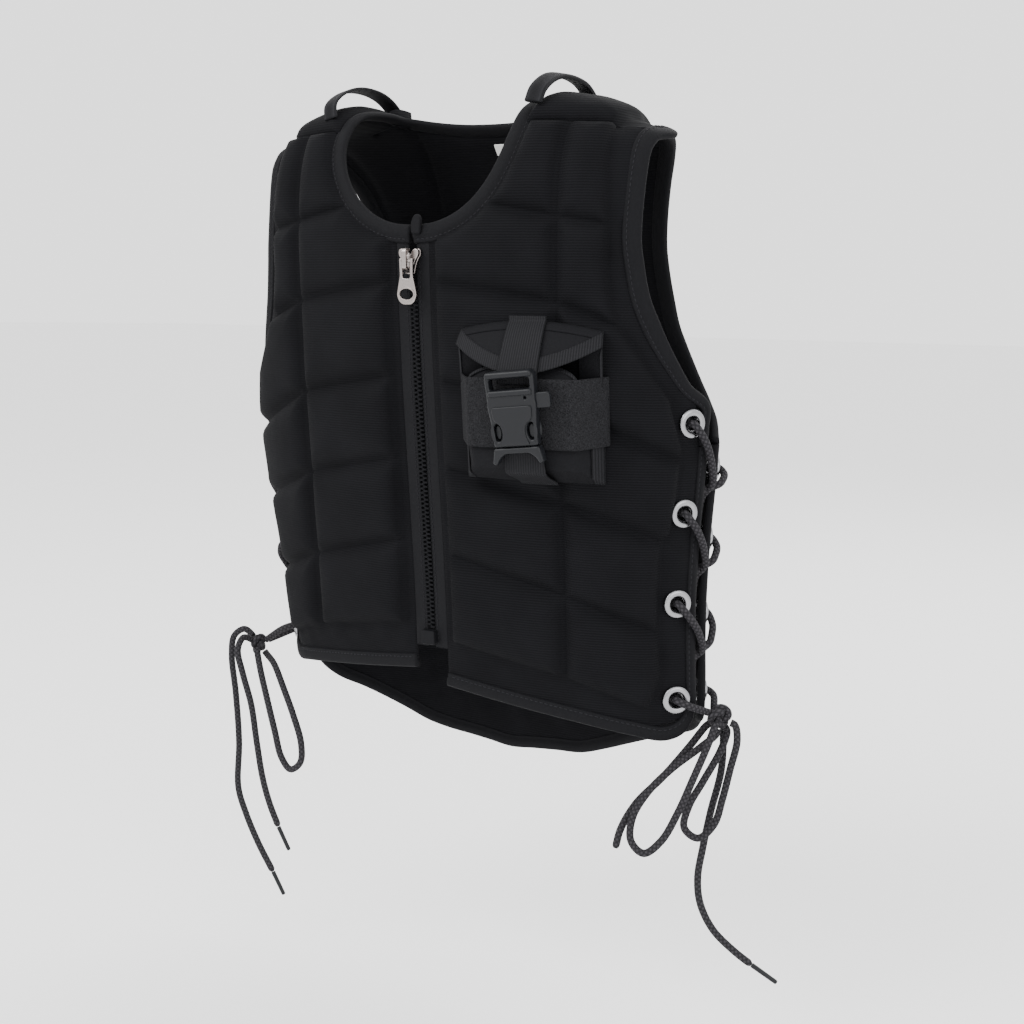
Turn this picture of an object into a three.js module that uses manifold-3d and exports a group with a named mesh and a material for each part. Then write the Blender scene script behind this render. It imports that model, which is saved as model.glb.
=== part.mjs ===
// Equestrian body protector: a padded, laced vest with a front zip and a small chest pouch.
// Millimetres, +Z up. The front faces -Y and the wearer's left is +X.
// The origin lies midway between the shoulders, at the height where they carry the lining.
import * as THREE from "three";
import { mergeVertices } from "three/addons/utils/BufferGeometryUtils.js";
import Module from "manifold-3d";

const wasm = await Module();
wasm.setup();

// Main body sizes
const VEST_LENGTH = 483; // shoulder ridge at the neck down to the back hem
const CHEST_HALF_WIDTH = 190;
const FRONT_DEPTH = 93; // chest, forward of the side plane
const BACK_DEPTH = 72;
const SECTION_POWER = 2.2; // roundness of the level sections
const RIDGE_RISE = 28; // shoulder ridge at the neck, above the origin
const SHOULDER_DROP = 31; // fall of the ridge out to the shoulder point
const SHOULDER_REACH = 166; // half width where that fall is measured
const RIDGE_LINE = -15; // the ridge runs this far in front of the side plane
const FRONT_CLOSE = { below: 103, power: 3 }; // where the front starts to close over the shoulder
const BACK_CLOSE = { below: 173, power: 2.2 };
const SIDE_GAP = 18; // laced gap between the front and back side edges

// Quilting
const PAD_THICKNESS = 14;
const GROOVE_DEPTH = 5;
const LINING_GROOVE = 2.5;
const MARGIN_RECESS = 8; // the unpadded cloth lies this far under the pad tops
const MARGIN_CLOTH = 2.6;
const BEVEL = 6; // width of a pad's sloping edge
const DIVIDER = 106; // the front's pad columns part here
const BACK_DIVIDER = 68;
const HALF_SAG = 5; // the wearer's left half hangs this much lower at its foot, the right half higher
const PLACKET = 6; // plain cloth between the zip edge and the first pad

// Neck opening and bindings
const NECK = { halfWidth: 68, drop: 75.5, top: 8, power: 2.2, backHeight: 15.5, backPower: 2.5 };
const CLEARANCE = 0.3;
const BINDING_WIDTH = 12.5;
const SIDE_BINDING_WIDTH = 8;
const HEM_BINDING_WIDTH = 10;
const BINDING_THICKNESS = 5;
const HEM_CORNER = 10;
const CORNER_TURN = [[4.5, 5], [15, 0]]; // inward from the side edge and up from the hem
const TUCK = 1.2; // the cloth reaches this far into the bindings
const SHOULDER_SEAM_GAP = 1;

// Zip
const ZIP_HALF_GAP = 13;
const TEETH = { width: 6.6, thickness: 3 };
const TAPE_THICKNESS = 1;
const ZIP_BOX = { width: 11, height: 10, thickness: 5 };
const SLIDER = { width: 16, height: 23, thickness: 5 };
const BRIDGE = { width: 5, thickness: 2, room: 4.4, top: 8, foot: -8 };
const PULL = { pin: 1.1, arm: 3.2, reach: 31, plate: 17, width: 16, thickness: 2, pivot: 3 };

// Lacing
const EYELET = { hole: 4.7, barrel: 5.6, rim: 9.6, crown: 1.9, fromEdge: 18.4, segments: 8, roll: 0.55 };
const EYELET_LEVELS = {
  front: [0.456, 0.578, 0.702, 0.836], // shares of the vest length
  back: [0.522, 0.62, 0.725, 0.836],
};
const EYELETS = 4; // on each side edge
const LACE = { diameter: 5, sides: 8 };
const AGLET = { diameter: 3.4, length: 20 };
const KNOT_RADIUS = 8;

// Chest pouch, in its own frame: across, up and out from the cloth
const POUCH = { across: 90, level: 0.441, width: 96, top: 57, foot: -46, mouth: 30, depth: 20, front: 68 };
const POUCH_WALL = 1.6;
const BAND = { width: 44, middle: 1, thickness: 1.4, reach: POUCH.width / 2 + 3 };
const WEBBING = { width: 25, thickness: 1.6 };
const BUCKLE = { width: 33, thickness: 9, top: 29.6, waist: 3.3, mouth: -18, foot: -30, bar: 4 };

const ARM_LEVELS = [0.486, 0.46, 0.435, 0.41, 0.385, 0.36, 0.33, 0.295, 0.25, 0.213];
const ARM_TOP = 0.785; // half width of the armhole binding on the ridge, as a share of the chest's
const SIDE_JOIN_GAP = 0.8;
const SHOULDER_LOOP = { width: 12, thickness: 2, across: NECK.halfWidth + BINDING_WIDTH + 4.5 };
const LABEL = { width: 12, height: 9, thickness: 0.6 };

// Level sections: shares of the half width on each side and of the two depths, by share of the length.
const SECTIONS = [
  { level: 0.0, left: 1.01, right: 1.01, front: 1.0, back: 1.0 },
  { level: 0.213, left: 1.015, right: 1.015, front: 0.996, back: 1.0 },
  { level: 0.317, left: 1.015, right: 1.015, front: 0.96, back: 1.03 },
  { level: 0.42, left: 1.01, right: 1.015, front: 0.908, back: 1.04 },
  { level: 0.524, left: 1.0, right: 0.995, front: 0.845, back: 1.014 },
  { level: 0.627, left: 0.984, right: 0.965, front: 0.78, back: 0.97 },
  { level: 0.731, left: 0.98, right: 0.925, front: 0.72, back: 0.93 },
  { level: 0.834, left: 0.99, right: 0.89, front: 0.677, back: 0.89 },
  { level: 0.917, left: 0.984, right: 0.87, front: 0.645, back: 0.875 },
  { level: 1.0, left: 0.98, right: 0.86, front: 0.645, back: 0.86 },
];

// Side outline: shares of the chest half width at each level. Below the armholes the laced edge rules.
const OUTLINE = [
  { level: 0.052, frontPad: 0.7, frontArm: 0.835, backPad: 0.69, backArm: 0.8 },
  { level: 0.13, frontPad: 0.715, frontArm: 0.83, backPad: 0.62, backArm: 0.705 },
  { level: 0.213, frontPad: 0.726, frontArm: 0.826, backPad: 0.575, backArm: 0.663 },
  { level: 0.292, frontPad: 0.726, frontArm: 0.853, backPad: 0.6, backArm: 0.69 },
  { level: 0.333, frontPad: 0.768, frontArm: 0.888, backPad: 0.63, backArm: 0.72 },
  { level: 0.381, frontPad: 0.86, frontArm: 0.937, backPad: 0.7, backArm: 0.79 },
  { level: 0.42, frontPad: 0.91, frontArm: 0.985, backPad: 0.76, backArm: 0.86 },
  { level: 0.451, frontPad: 0.935, frontArm: 1.06, backPad: 0.82, backArm: 0.93 },
  { level: 0.482, frontPad: 0.945, frontArm: 1.1, backPad: 0.87, backArm: 1.0 },
  { level: 0.499, frontPad: 0.94, frontArm: 1.2, backPad: 0.89, backArm: 1.1 },
  { level: 0.611, frontPad: 0.92, frontArm: 1.2, backPad: 0.89, backArm: 1.2 },
  { level: 0.621, frontPad: 0.895, frontArm: 1.2, backPad: 0.885, backArm: 1.2 },
  { level: 0.723, frontPad: 0.89, frontArm: 1.2, backPad: 0.88, backArm: 1.2 },
  { level: 0.826, frontPad: 0.89, frontArm: 1.2, backPad: 0.87, backArm: 1.2 },
  { level: 0.851, frontPad: 0.85, frontArm: 1.2, backPad: 0.85, backArm: 1.2 },
];

// Sewn seams: shares of the vest length at the middle, at the divider and at the side.
const FRONT_SEAMS = {
  shoulder: { inner: 0.05, divider: 0.056, outer: 0.062 },
  yoke: { inner: 0.151, divider: 0.188, outer: 0.207 },
  chest: { inner: 0.269, divider: 0.302, outer: 0.343 },
  ribs: { inner: 0.4, divider: 0.437, outer: 0.49 },
  waist: { inner: 0.518, divider: 0.561, outer: 0.606 },
  belly: { inner: 0.638, divider: 0.689, outer: 0.732 },
  foot: { inner: 0.768, divider: 0.805, outer: 0.843 },
  hem: { inner: 0.839, divider: 0.866, outer: 0.884 },
};
const BACK_SEAMS = {
  yoke: { inner: 0.15, divider: 0.158, outer: 0.17 },
  blades: { inner: 0.285, divider: 0.3, outer: 0.325 },
  ribs: { inner: 0.42, divider: 0.44, outer: 0.47 },
  waist: { inner: 0.55, divider: 0.57, outer: 0.6 },
  loin: { inner: 0.68, divider: 0.7, outer: 0.73 },
  foot: { inner: 0.86, divider: 0.855, outer: 0.835 },
  hem: { inner: 1.0, divider: 0.985, outer: 0.905 },
};

// Relief of the quilting, measured out from the pad tops, for the outer side and the lining.
const RELIEF = {
  margin: { rank: 3, out: -MARGIN_RECESS, inn: -MARGIN_RECESS - MARGIN_CLOTH },
  groove: { rank: 2, out: -GROOVE_DEPTH, inn: LINING_GROOVE - PAD_THICKNESS },
  bevel: { rank: 1, out: -1, inn: 1 - PAD_THICKNESS },
  crown: { rank: 0, out: 0, inn: -PAD_THICKNESS },
};
const MARGIN_MIDDLE = -MARGIN_RECESS - MARGIN_CLOTH / 2;
const deeper = (a, b) => (RELIEF[a].rank > RELIEF[b].rank ? a : b);

const heightOf = (level) => RIDGE_RISE - level * VEST_LENGTH;
const levelOf = (z) => (RIDGE_RISE - z) / VEST_LENGTH;
const { clamp, lerp } = THREE.MathUtils;

// Smooth look-up of one named column of a table by its level.
function look(table, column, level) {
  const last = table.length - 1;
  const found = table.findIndex((row) => row.level > level);
  const i = clamp(found === -1 ? last : found, 1, last);
  const [a, b] = [table[i - 1], table[i]];
  const [before, after] = [table[Math.max(i - 2, 0)], table[Math.min(i + 1, last)]];
  const span = b.level - a.level;
  const t = clamp((level - a.level) / span, 0, 1);
  const slope = (p, q) => ((q[column] - p[column]) / (q.level - p.level)) * span;
  const curve = new THREE.CubicBezierCurve(
    new THREE.Vector2(0, a[column]),
    new THREE.Vector2(0, a[column] + slope(before, b) / 3),
    new THREE.Vector2(0, b[column] - slope(a, after) / 3),
    new THREE.Vector2(0, b[column]),
  );
  return curve.getPoint(t).y;
}

// Body surface: level superellipses that close over the shoulders to a ridge.
const halfWidth = (x, z) => CHEST_HALF_WIDTH * look(SECTIONS, x < 0 ? "right" : "left", levelOf(z));
const depth = (face, z) =>
  (face === "front" ? -FRONT_DEPTH : BACK_DEPTH) * look(SECTIONS, face, levelOf(z));
const ridgeHeight = (x) => RIDGE_RISE - SHOULDER_DROP * (x / SHOULDER_REACH) ** 2;
const closeOf = (face) => (face === "front" ? FRONT_CLOSE : BACK_CLOSE);

// How far the closing over the shoulder has gone at a height, 0 to 1.
function turnAt(face, x, z) {
  const start = RIDGE_RISE - closeOf(face).below;
  const rise = clamp((z - start) / (ridgeHeight(x) - start), 0, 1);
  return (2 / Math.PI) * Math.asin(rise ** (closeOf(face).power / 2));
}
function onBody(face, x, z, turn) {
  const start = RIDGE_RISE - closeOf(face).below;
  const angle = (clamp(turn, 0, 1) * Math.PI) / 2;
  const bend = 2 / closeOf(face).power;
  const height = turn > 0 ? start + (ridgeHeight(x) - start) * Math.sin(angle) ** bend : z;
  const across = Math.min(Math.abs(x) / halfWidth(x, height), 0.99999);
  const y = depth(face, height) * (1 - across ** SECTION_POWER) ** (1 / SECTION_POWER);
  if (turn <= 0) return new THREE.Vector3(x, y, height);
  return new THREE.Vector3(x, lerp(RIDGE_LINE, y, Math.cos(angle) ** bend), height);
}

// Point and outward normal of the body at a half width and turn or height, moved out by an offset.
function placeAtTurn(face, x, z, turn, offset) {
  const limit = halfWidth(x, z) * 0.99999;
  const left = onBody(face, Math.max(x - 0.4, -limit), z, turn);
  const right = onBody(face, Math.min(x + 0.4, limit), z, turn);
  const [over, under] = turn > 0
    ? [onBody(face, x, z, Math.min(turn + 0.01, 1)), onBody(face, x, z, Math.max(turn - 0.01, 1e-4))]
    : [onBody(face, x, z + 1, 0), onBody(face, x, z - 1, 0)];
  const normal = right.sub(left).cross(over.sub(under)).normalize();
  if (face === "back") normal.negate();
  return { point: onBody(face, x, z, turn).addScaledVector(normal, offset), normal };
}
const place = (face, x, z, offset = 0) => placeAtTurn(face, x, z, turnAt(face, x, z), offset);

// Outline of a face at a level: the armhole above, the laced side edge below.
function edgeWidth(face, side, z) {
  const arm = CHEST_HALF_WIDTH * look(OUTLINE, face + "Arm", levelOf(z));
  const part = Math.min(Math.abs(SIDE_GAP / 2 / depth(face, z)), 1);
  const laced = halfWidth(side, z) * (1 - part ** SECTION_POWER) ** (1 / SECTION_POWER);
  return side * Math.min(arm, laced);
}
// The same place moved inward over the surface by a distance.
function inset(face, x, z, distance) {
  const step = 0.25 * Math.sign(x);
  let at = x;
  let gone = 0;
  let last = place(face, at, z).point;
  while (gone < distance) {
    at -= step;
    const next = place(face, at, z).point;
    gone += next.distanceTo(last);
    last = next;
  }
  return at;
}
const edgeInset = (face, side, z, distance) => inset(face, edgeWidth(face, side, z), z, distance);
// Outer edge of the pads at a level, kept clear of the laced edge.
const padEdge = (face, side, z) =>
  side * look(OUTLINE, face + "Pad", levelOf(z)) * Math.min(CHEST_HALF_WIDTH, halfWidth(side, z));

// The armhole binding narrows to the width of the side binding.
const ARM_TAPER = { front: { from: 0.34, to: 0.42 }, back: { from: 0.42, to: 0.48 } };
const bindingWidth = (face, z) =>
  lerp(BINDING_WIDTH, SIDE_BINDING_WIDTH,
    clamp((levelOf(z) - ARM_TAPER[face].from) / (ARM_TAPER[face].to - ARM_TAPER[face].from), 0, 1));

// Neck opening, grown by a distance: its edge height and its half width on the front and the back.
function neckDip(grow, x) {
  const part = Math.min(Math.abs(x) / (NECK.halfWidth + grow), 1);
  return NECK.top - (NECK.drop + grow) * (1 - part ** NECK.power) ** (1 / NECK.power);
}
function neckReach(grow, z) {
  const part = clamp((NECK.top - z) / (NECK.drop + grow), 0, 1);
  return (NECK.halfWidth + grow) * (1 - part ** NECK.power) ** (1 / NECK.power);
}
function neckNape(grow, x) {
  const reach = NECK.halfWidth + grow;
  const middle = NECK.backHeight - 0.76 * grow;
  const rise = ridgeHeight(reach) - 1.5 - middle;
  return middle + rise * Math.min(Math.abs(x) / reach, 1) ** NECK.backPower;
}

// Height of a seam at a half width. Each half of the front hangs a little differently.
function seamHeight(seams, name, divider, x) {
  const seam = seams[name];
  const at = Math.abs(x);
  const outer = 0.87 * CHEST_HALF_WIDTH;
  const share = at < divider
    ? lerp(seam.inner, seam.divider, at / divider)
    : lerp(seam.divider, seam.outer, Math.min((at - divider) / (outer - divider), 1.15));
  return heightOf(share);
}
const sag = (side, z) => -side * HALF_SAG * clamp((levelOf(z) - 0.3) / 0.5, 0, 1);

// A closed body from points and triangles, turned so that its faces point outward.
function bodyOf(points, triangles) {
  const flat = points.flatMap((p) => p.toArray());
  const cross = new THREE.Vector3();
  const volume = triangles.reduce(
    (sum, [a, b, c]) => sum + points[a].dot(cross.crossVectors(points[b], points[c])),
    0,
  );
  const order = triangles.flatMap(([a, b, c]) => (volume < 0 ? [a, c, b] : [a, b, c]));
  return new THREE.BufferGeometry()
    .setAttribute("position", new THREE.Float32BufferAttribute(flat, 3))
    .setIndex(order);
}

// A quilted cloth from a grid of places {face, x, z, kind}; places left null are open.
function quilt(rows) {
  const outer = [];
  const inner = [];
  const index = rows.map((row) =>
    row.map((cell) => {
      if (!cell) return -1;
      const turn = cell.turn ?? turnAt(cell.face, cell.x, cell.z);
      const relief = RELIEF[cell.kind];
      outer.push(placeAtTurn(cell.face, cell.x, cell.z, turn, relief.out).point);
      inner.push(placeAtTurn(cell.face, cell.x, cell.z, turn, relief.inn).point);
      return outer.length - 1;
    }),
  );
  const faces = [];
  for (let r = 0; r + 1 < index.length; r++) {
    for (let c = 0; c + 1 < index[r].length; c++) {
      const ring = [index[r][c], index[r][c + 1], index[r + 1][c + 1], index[r + 1][c]];
      const corners = ring.filter((i) => i >= 0);
      if (corners.length < 3) continue;
      faces.push([corners[0], corners[1], corners[2]]);
      if (corners.length === 4) faces.push([corners[0], corners[2], corners[3]]);
    }
  }
  const count = outer.length;
  const open = new Map();
  for (const face of faces) {
    face.forEach((a, k) => {
      const b = face[(k + 1) % 3];
      if (!open.delete(b + "," + a)) open.set(a + "," + b, [a, b]);
    });
  }
  const triangles = [...faces, ...faces.map(([a, b, c]) => [a + count, c + count, b + count])];
  for (const [a, b] of open.values()) triangles.push([b, a, a + count], [b, a + count, b + count]);
  return bodyOf([...outer, ...inner], triangles);
}

// A band with a flat section swept through frames {point, normal}; scale widens it along its way.
function sweep(frames, section, closed = false) {
  const points = [];
  const last = frames.length - 1;
  frames.forEach(({ point, normal, scale = 1 }, i) => {
    const before = frames[closed ? (i + last) % (last + 1) : Math.max(i - 1, 0)].point;
    const after = frames[closed ? (i + 1) % (last + 1) : Math.min(i + 1, last)].point;
    const side = after.clone().sub(before).normalize().cross(normal).normalize();
    const up = side.clone().cross(after.clone().sub(before)).normalize();
    for (const [a, b] of section) {
      points.push(point.clone().addScaledVector(side, a * scale).addScaledVector(up, b));
    }
  });
  const n = section.length;
  const triangles = [];
  const joins = closed ? last + 1 : last;
  for (let i = 0; i < joins; i++) {
    const j = (i + 1) % (last + 1);
    for (let k = 0; k < n; k++) {
      const m = (k + 1) % n;
      triangles.push([i * n + k, i * n + m, j * n + m], [i * n + k, j * n + m, j * n + k]);
    }
  }
  for (let k = 1; k + 1 < n && !closed; k++) {
    triangles.push([0, k + 1, k], [last * n, last * n + k, last * n + k + 1]);
  }
  return bodyOf(points, triangles);
}
const flatSection = (width, thickness) => [
  [-width / 2, -thickness / 2],
  [width / 2, -thickness / 2],
  [width / 2, thickness / 2],
  [-width / 2, thickness / 2],
];
const rolledSection = (width, thickness) => [
  [-width / 2, 0],
  [-width / 4, -thickness / 2],
  [width / 4, -thickness / 2],
  [width / 2, 0],
  [width / 4, thickness / 2],
  [-width / 4, thickness / 2],
];

function toSolid(geometry) {
  const plain = geometry.clone();
  plain.deleteAttribute("normal");
  plain.deleteAttribute("uv");
  const merged = mergeVertices(plain, 1e-4);
  return new wasm.Manifold(new wasm.Mesh({
    numProp: 3,
    vertProperties: new Float32Array(merged.attributes.position.array),
    triVerts: new Uint32Array(merged.index.array),
  }));
}
function fromSolid(solid) {
  const { vertProperties, triVerts } = solid.getMesh();
  return new THREE.BufferGeometry()
    .setAttribute("position", new THREE.BufferAttribute(new Float32Array(vertProperties), 3))
    .setIndex(new THREE.BufferAttribute(new Uint32Array(triVerts), 1));
}
const cut = (geometry, tools) =>
  fromSolid(tools.reduce((solid, tool) => solid.subtract(toSolid(tool)), toSolid(geometry)));
const toBody = (geometry) => fromSolid(toSolid(geometry));
const join = (geometries) =>
  fromSolid(geometries.map(toSolid).reduce((all, solid) => all.add(solid)));

// Materials
const finish = (color, roughness, metalness = 0) => ({ color, roughness, metalness });
const CLOTH = finish(0x1b1b1d, 0.85);
const TWILL = finish(0x222224, 0.8);
const WEB = finish(0x333335, 0.8);
const CORD = finish(0x3a3a3d, 0.75);
const PLASTIC = finish(0x2a2c2f, 0.4);
const ZIP_PLASTIC = finish(0x17171a, 0.45);
const METAL = finish(0xb9b3ad, 0.3, 1);
const LABEL_CLOTH = finish(0xe8e8e6, 0.8);

const vest = new THREE.Group();
function add(name, geometry, look, parent = vest) {
  const mesh = new THREE.Mesh(geometry, new THREE.MeshStandardMaterial(look));
  mesh.name = name;
  parent.add(mesh);
  return mesh;
}
const SIDES = [
  { side: -1, name: "right" },
  { side: 1, name: "left" },
];

// Eyelets: their frames, the holes they need, and the rings themselves
function eyeletFrame(face, side, i) {
  const level = heightOf(EYELET_LEVELS[face][i]);
  const z = level + Math.max(1.6 * sag(side, level), 0);
  return place(face, edgeInset(face, side, z, EYELET.fromEdge), z, -MARGIN_RECESS);
}
function alongNormal(geometry, { point, normal }) {
  const turn = new THREE.Quaternion().setFromUnitVectors(new THREE.Vector3(0, 1, 0), normal);
  return geometry.applyQuaternion(turn).translate(...point.toArray());
}
// The hole through the cloth, and the room for the rim beside a pad.
const eyeletRooms = (face, side) =>
  EYELET_LEVELS[face].flatMap((level, i) => {
    const frame = eyeletFrame(face, side, i);
    const disc = (radius, height, lift) => {
      const shape = new THREE.CylinderGeometry(radius, radius, height, EYELET.segments);
      return alongNormal(shape.rotateY(EYELET.roll).translate(0, lift, 0), frame);
    };
    return [
      disc(EYELET.barrel + CLEARANCE, 12, 0),
      disc(EYELET.rim + CLEARANCE, PAD_THICKNESS, PAD_THICKNESS / 2 + CLEARANCE / 2),
    ];
  });
function eyeletRing(frame) {
  const under = CLEARANCE + 0.2;
  const profile = [
    [EYELET.hole, -MARGIN_CLOTH - 0.6],
    [EYELET.barrel, -MARGIN_CLOTH - 0.6],
    [EYELET.barrel, under],
    [EYELET.rim, under],
    [(EYELET.rim + EYELET.hole) / 2, under + EYELET.crown],
    [lerp(EYELET.hole, EYELET.barrel, 0.6), under + EYELET.crown / 2],
    [EYELET.hole, -MARGIN_CLOTH - 0.6],
  ].map(([r, h]) => new THREE.Vector2(r, h));
  const ring = toBody(new THREE.LatheGeometry(profile, EYELET.segments).rotateY(EYELET.roll));
  return alongNormal(ring, frame);
}

// Frames along the bindings, each with its width as a share of the neck binding's
// Neck binding: down one side of the front, round the nape and back
function neckPath() {
  const grow = BINDING_WIDTH / 2;
  const reach = NECK.halfWidth + grow;
  const half = [];
  const steps = 9;
  for (let i = 0; i <= steps; i++) {
    const angle = lerp(0.015, Math.PI / 2, i / steps);
    const x = reach * Math.sin(angle) ** (2 / NECK.power);
    half.push(place("front", x, neckDip(grow, x), MARGIN_MIDDLE));
  }
  for (const t of [0.5, 0.8]) {
    half.push(place("front", reach, lerp(NECK.top, ridgeHeight(reach), t), MARGIN_MIDDLE));
  }
  half.push(placeAtTurn("front", reach, 0, 1, MARGIN_MIDDLE));
  for (const t of [0.97, 0.85, 0.65, 0.4, 0.15]) {
    half.push(place("back", reach * t, neckNape(grow, reach * t), MARGIN_MIDDLE));
  }
  const mirror = ({ point, normal }) => ({
    point: new THREE.Vector3(-point.x, point.y, point.z),
    normal: new THREE.Vector3(-normal.x, normal.y, normal.z),
  });
  return [...half, ...half.map(mirror).reverse()];
}
function armholePath(side) {
  const at = (face, z) => {
    const width = bindingWidth(face, z);
    const x = edgeInset(face, side, z, width / 2);
    return { ...place(face, x, z, MARGIN_MIDDLE), scale: width / BINDING_WIDTH };
  };
  const rising = [0.4, 0.55, 0.7, 0.85];
  const turned = (face, turn) => at(face, onBody(face, 0.8 * CHEST_HALF_WIDTH, 0, turn).z);
  const front = ARM_LEVELS.map((level) => at("front", heightOf(level)));
  const back = ARM_LEVELS.map((level) => at("back", heightOf(level)));
  const top = placeAtTurn("front", side * ARM_TOP * CHEST_HALF_WIDTH, 0, 1, MARGIN_MIDDLE);
  return [
    ...front,
    ...rising.map((turn) => turned("front", turn)),
    top,
    ...rising.map((turn) => turned("back", turn)).reverse(),
    ...back.reverse(),
  ];
}
// Side edge from the armhole down, round the corner and along the hem to a half width.
function edgePath(face, seams, divider, side, stop) {
  const hem = (x) => {
    const z = seamHeight(seams, "hem", divider, x);
    return z + (face === "front" ? sag(side, z) : 0) + HEM_BINDING_WIDTH / 2;
  };
  const low = hem(0.85 * CHEST_HALF_WIDTH);
  const top = heightOf(ARM_LEVELS[0]) - SIDE_JOIN_GAP;
  const frames = [];
  const steps = 8;
  for (let i = 0; i <= steps; i++) {
    const z = lerp(top, low + CORNER_TURN[1][0], i / steps);
    const x = edgeInset(face, side, z, SIDE_BINDING_WIDTH / 2);
    frames.push({ ...place(face, x, z, MARGIN_MIDDLE), scale: SIDE_BINDING_WIDTH / BINDING_WIDTH });
  }
  const corner = Math.abs(edgeInset(face, side, low, SIDE_BINDING_WIDTH / 2));
  const scale = HEM_BINDING_WIDTH / BINDING_WIDTH;
  for (const [inward, up] of CORNER_TURN) {
    const x = corner - inward;
    frames.push({ ...place(face, side * x, hem(x) + up, MARGIN_MIDDLE), scale });
  }
  const along = 8;
  for (let i = 1; i <= along; i++) {
    const x = lerp(corner - CORNER_TURN[1][0], stop, i / along);
    frames.push({ ...place(face, side * x, hem(x), MARGIN_MIDDLE), scale });
  }
  return frames;
}
const BINDING = rolledSection(BINDING_WIDTH, BINDING_THICKNESS);
const ROOM = flatSection(BINDING_WIDTH + 5 * CLEARANCE, PAD_THICKNESS);
const neckFrames = neckPath();
const armFrames = SIDES.map(({ side }) => armholePath(side));
const frontEdgeFrames = SIDES.map(({ side }) =>
  edgePath("front", FRONT_SEAMS, DIVIDER, side, ZIP_HALF_GAP + CLEARANCE));
const backEdgeFrames = (() => {
  const [right, left] = SIDES.map(({ side }) => edgePath("back", BACK_SEAMS, BACK_DIVIDER, side, 0));
  return [...right, ...left.slice(0, -1).reverse()];
})();
const roomFor = (frames) => sweep(frames, ROOM);
add("neck_binding", sweep(neckFrames, BINDING), TWILL);
add("back_edge_binding", cut(sweep(backEdgeFrames, BINDING), armFrames.map(roomFor)), TWILL);
SIDES.forEach(({ name }, i) => {
  add(`armhole_binding_${name}`, sweep(armFrames[i], BINDING), TWILL);
  add(
    `front_edge_binding_${name}`,
    cut(sweep(frontEdgeFrames[i], BINDING), [roomFor(armFrames[i])]),
    TWILL,
  );
});

// Front halves
const ROWS = ["belly", "waist", "ribs", "chest", "yoke"];
function frontRows(side) {
  const foot = BINDING_WIDTH - TUCK;
  const start = ZIP_HALF_GAP + PLACKET;
  const neckCorner = neckReach(foot, seamHeight(FRONT_SEAMS, "yoke", DIVIDER, 72));
  const seam = (name, shift = 0) => (x) => {
    const z = seamHeight(FRONT_SEAMS, name, DIVIDER, x);
    return z + shift + sag(side, z);
  };
  const between = (a, b, t) => (x) => lerp(a(x), b(x), t);
  // Over the first columns the yoke seam gives way to the neck binding.
  const yoke = (shift) => (x) => Math.min(seam("yoke", shift)(x), neckDip(foot, x) + Math.min(shift, 0));
  const lines = [
    { at: seam("hem", HEM_BINDING_WIDTH - TUCK), kind: "margin", corner: true },
    { at: seam("foot"), kind: "margin" },
    { at: seam("foot", BEVEL), kind: "bevel" },
  ];
  let low = seam("foot", BEVEL);
  for (const name of ROWS) {
    const line = name === "yoke" ? yoke : (shift) => seam(name, shift);
    lines.push({ at: between(low, line(-BEVEL), 0.5), kind: "crown" });
    lines.push({ at: line(-BEVEL), kind: "bevel" });
    lines.push({ at: line(0), kind: "groove", neck: name === "yoke" });
    low = line(BEVEL);
    lines.push({ at: low, kind: "bevel", above: name === "yoke" });
  }
  const top = seam("shoulder");
  lines.push({ at: between(low, top, 0.5), kind: "crown", above: true });
  lines.push({ at: (x) => top(x) - BEVEL, kind: "bevel", above: true });
  lines.push({ at: (x) => top(x) - SHOULDER_SEAM_GAP / 2, kind: "groove", above: true });

  return lines.map(({ at, kind, corner, neck, above }) => {
    const cell = (x, columnKind, z = at(x)) => ({ face: "front", x: side * x, z, kind: deeper(kind, columnKind) });
    const inner = [
      [ZIP_HALF_GAP + CLEARANCE, "margin"],
      [start, "margin"],
      [start + BEVEL, "bevel"],
      [(start + neckCorner) / 2, "crown"],
    ].map(([x, k]) => (above ? null : cell(x, neck ? "margin" : k)));
    const z0 = at(neckCorner);
    const neckX = above ? neckReach(foot, z0) : neckCorner;
    inner.push(cell(neckX, above || neck ? "margin" : "crown", z0));
    inner.push(cell(neckX + BEVEL + 1, above ? "bevel" : "crown"));
    const outerZ = at(Math.abs(padEdge("front", side, at(DIVIDER + 40))));
    const pad = Math.abs(padEdge("front", side, outerZ));
    const rimZ = outerZ + (corner ? HEM_CORNER : 0);
    const rim = Math.abs(edgeInset("front", side, rimZ, bindingWidth("front", rimZ) - TUCK));
    const first = DIVIDER + BEVEL;
    const last = pad - BEVEL;
    return [
      ...inner,
      cell(DIVIDER - BEVEL, "bevel"),
      cell(DIVIDER, "groove"),
      cell(first, "bevel"),
      cell(lerp(first, last, 0.5), "crown"),
      cell(last, "bevel"),
      cell(pad, "margin"),
      cell(rim, "margin", rimZ),
    ];
  });
}
SIDES.forEach(({ side, name }, i) => {
  const rooms = [
    ...eyeletRooms("front", side),
    ...[neckFrames, armFrames[i], frontEdgeFrames[i]].map(roomFor),
    sweep(armFrames[i], rolledSection(BINDING_WIDTH + 2 * CLEARANCE, BINDING_THICKNESS + 2 * CLEARANCE)),
  ];
  add(`front_panel_${name}`, cut(quilt(frontRows(side)), rooms), CLOTH);
});

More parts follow.
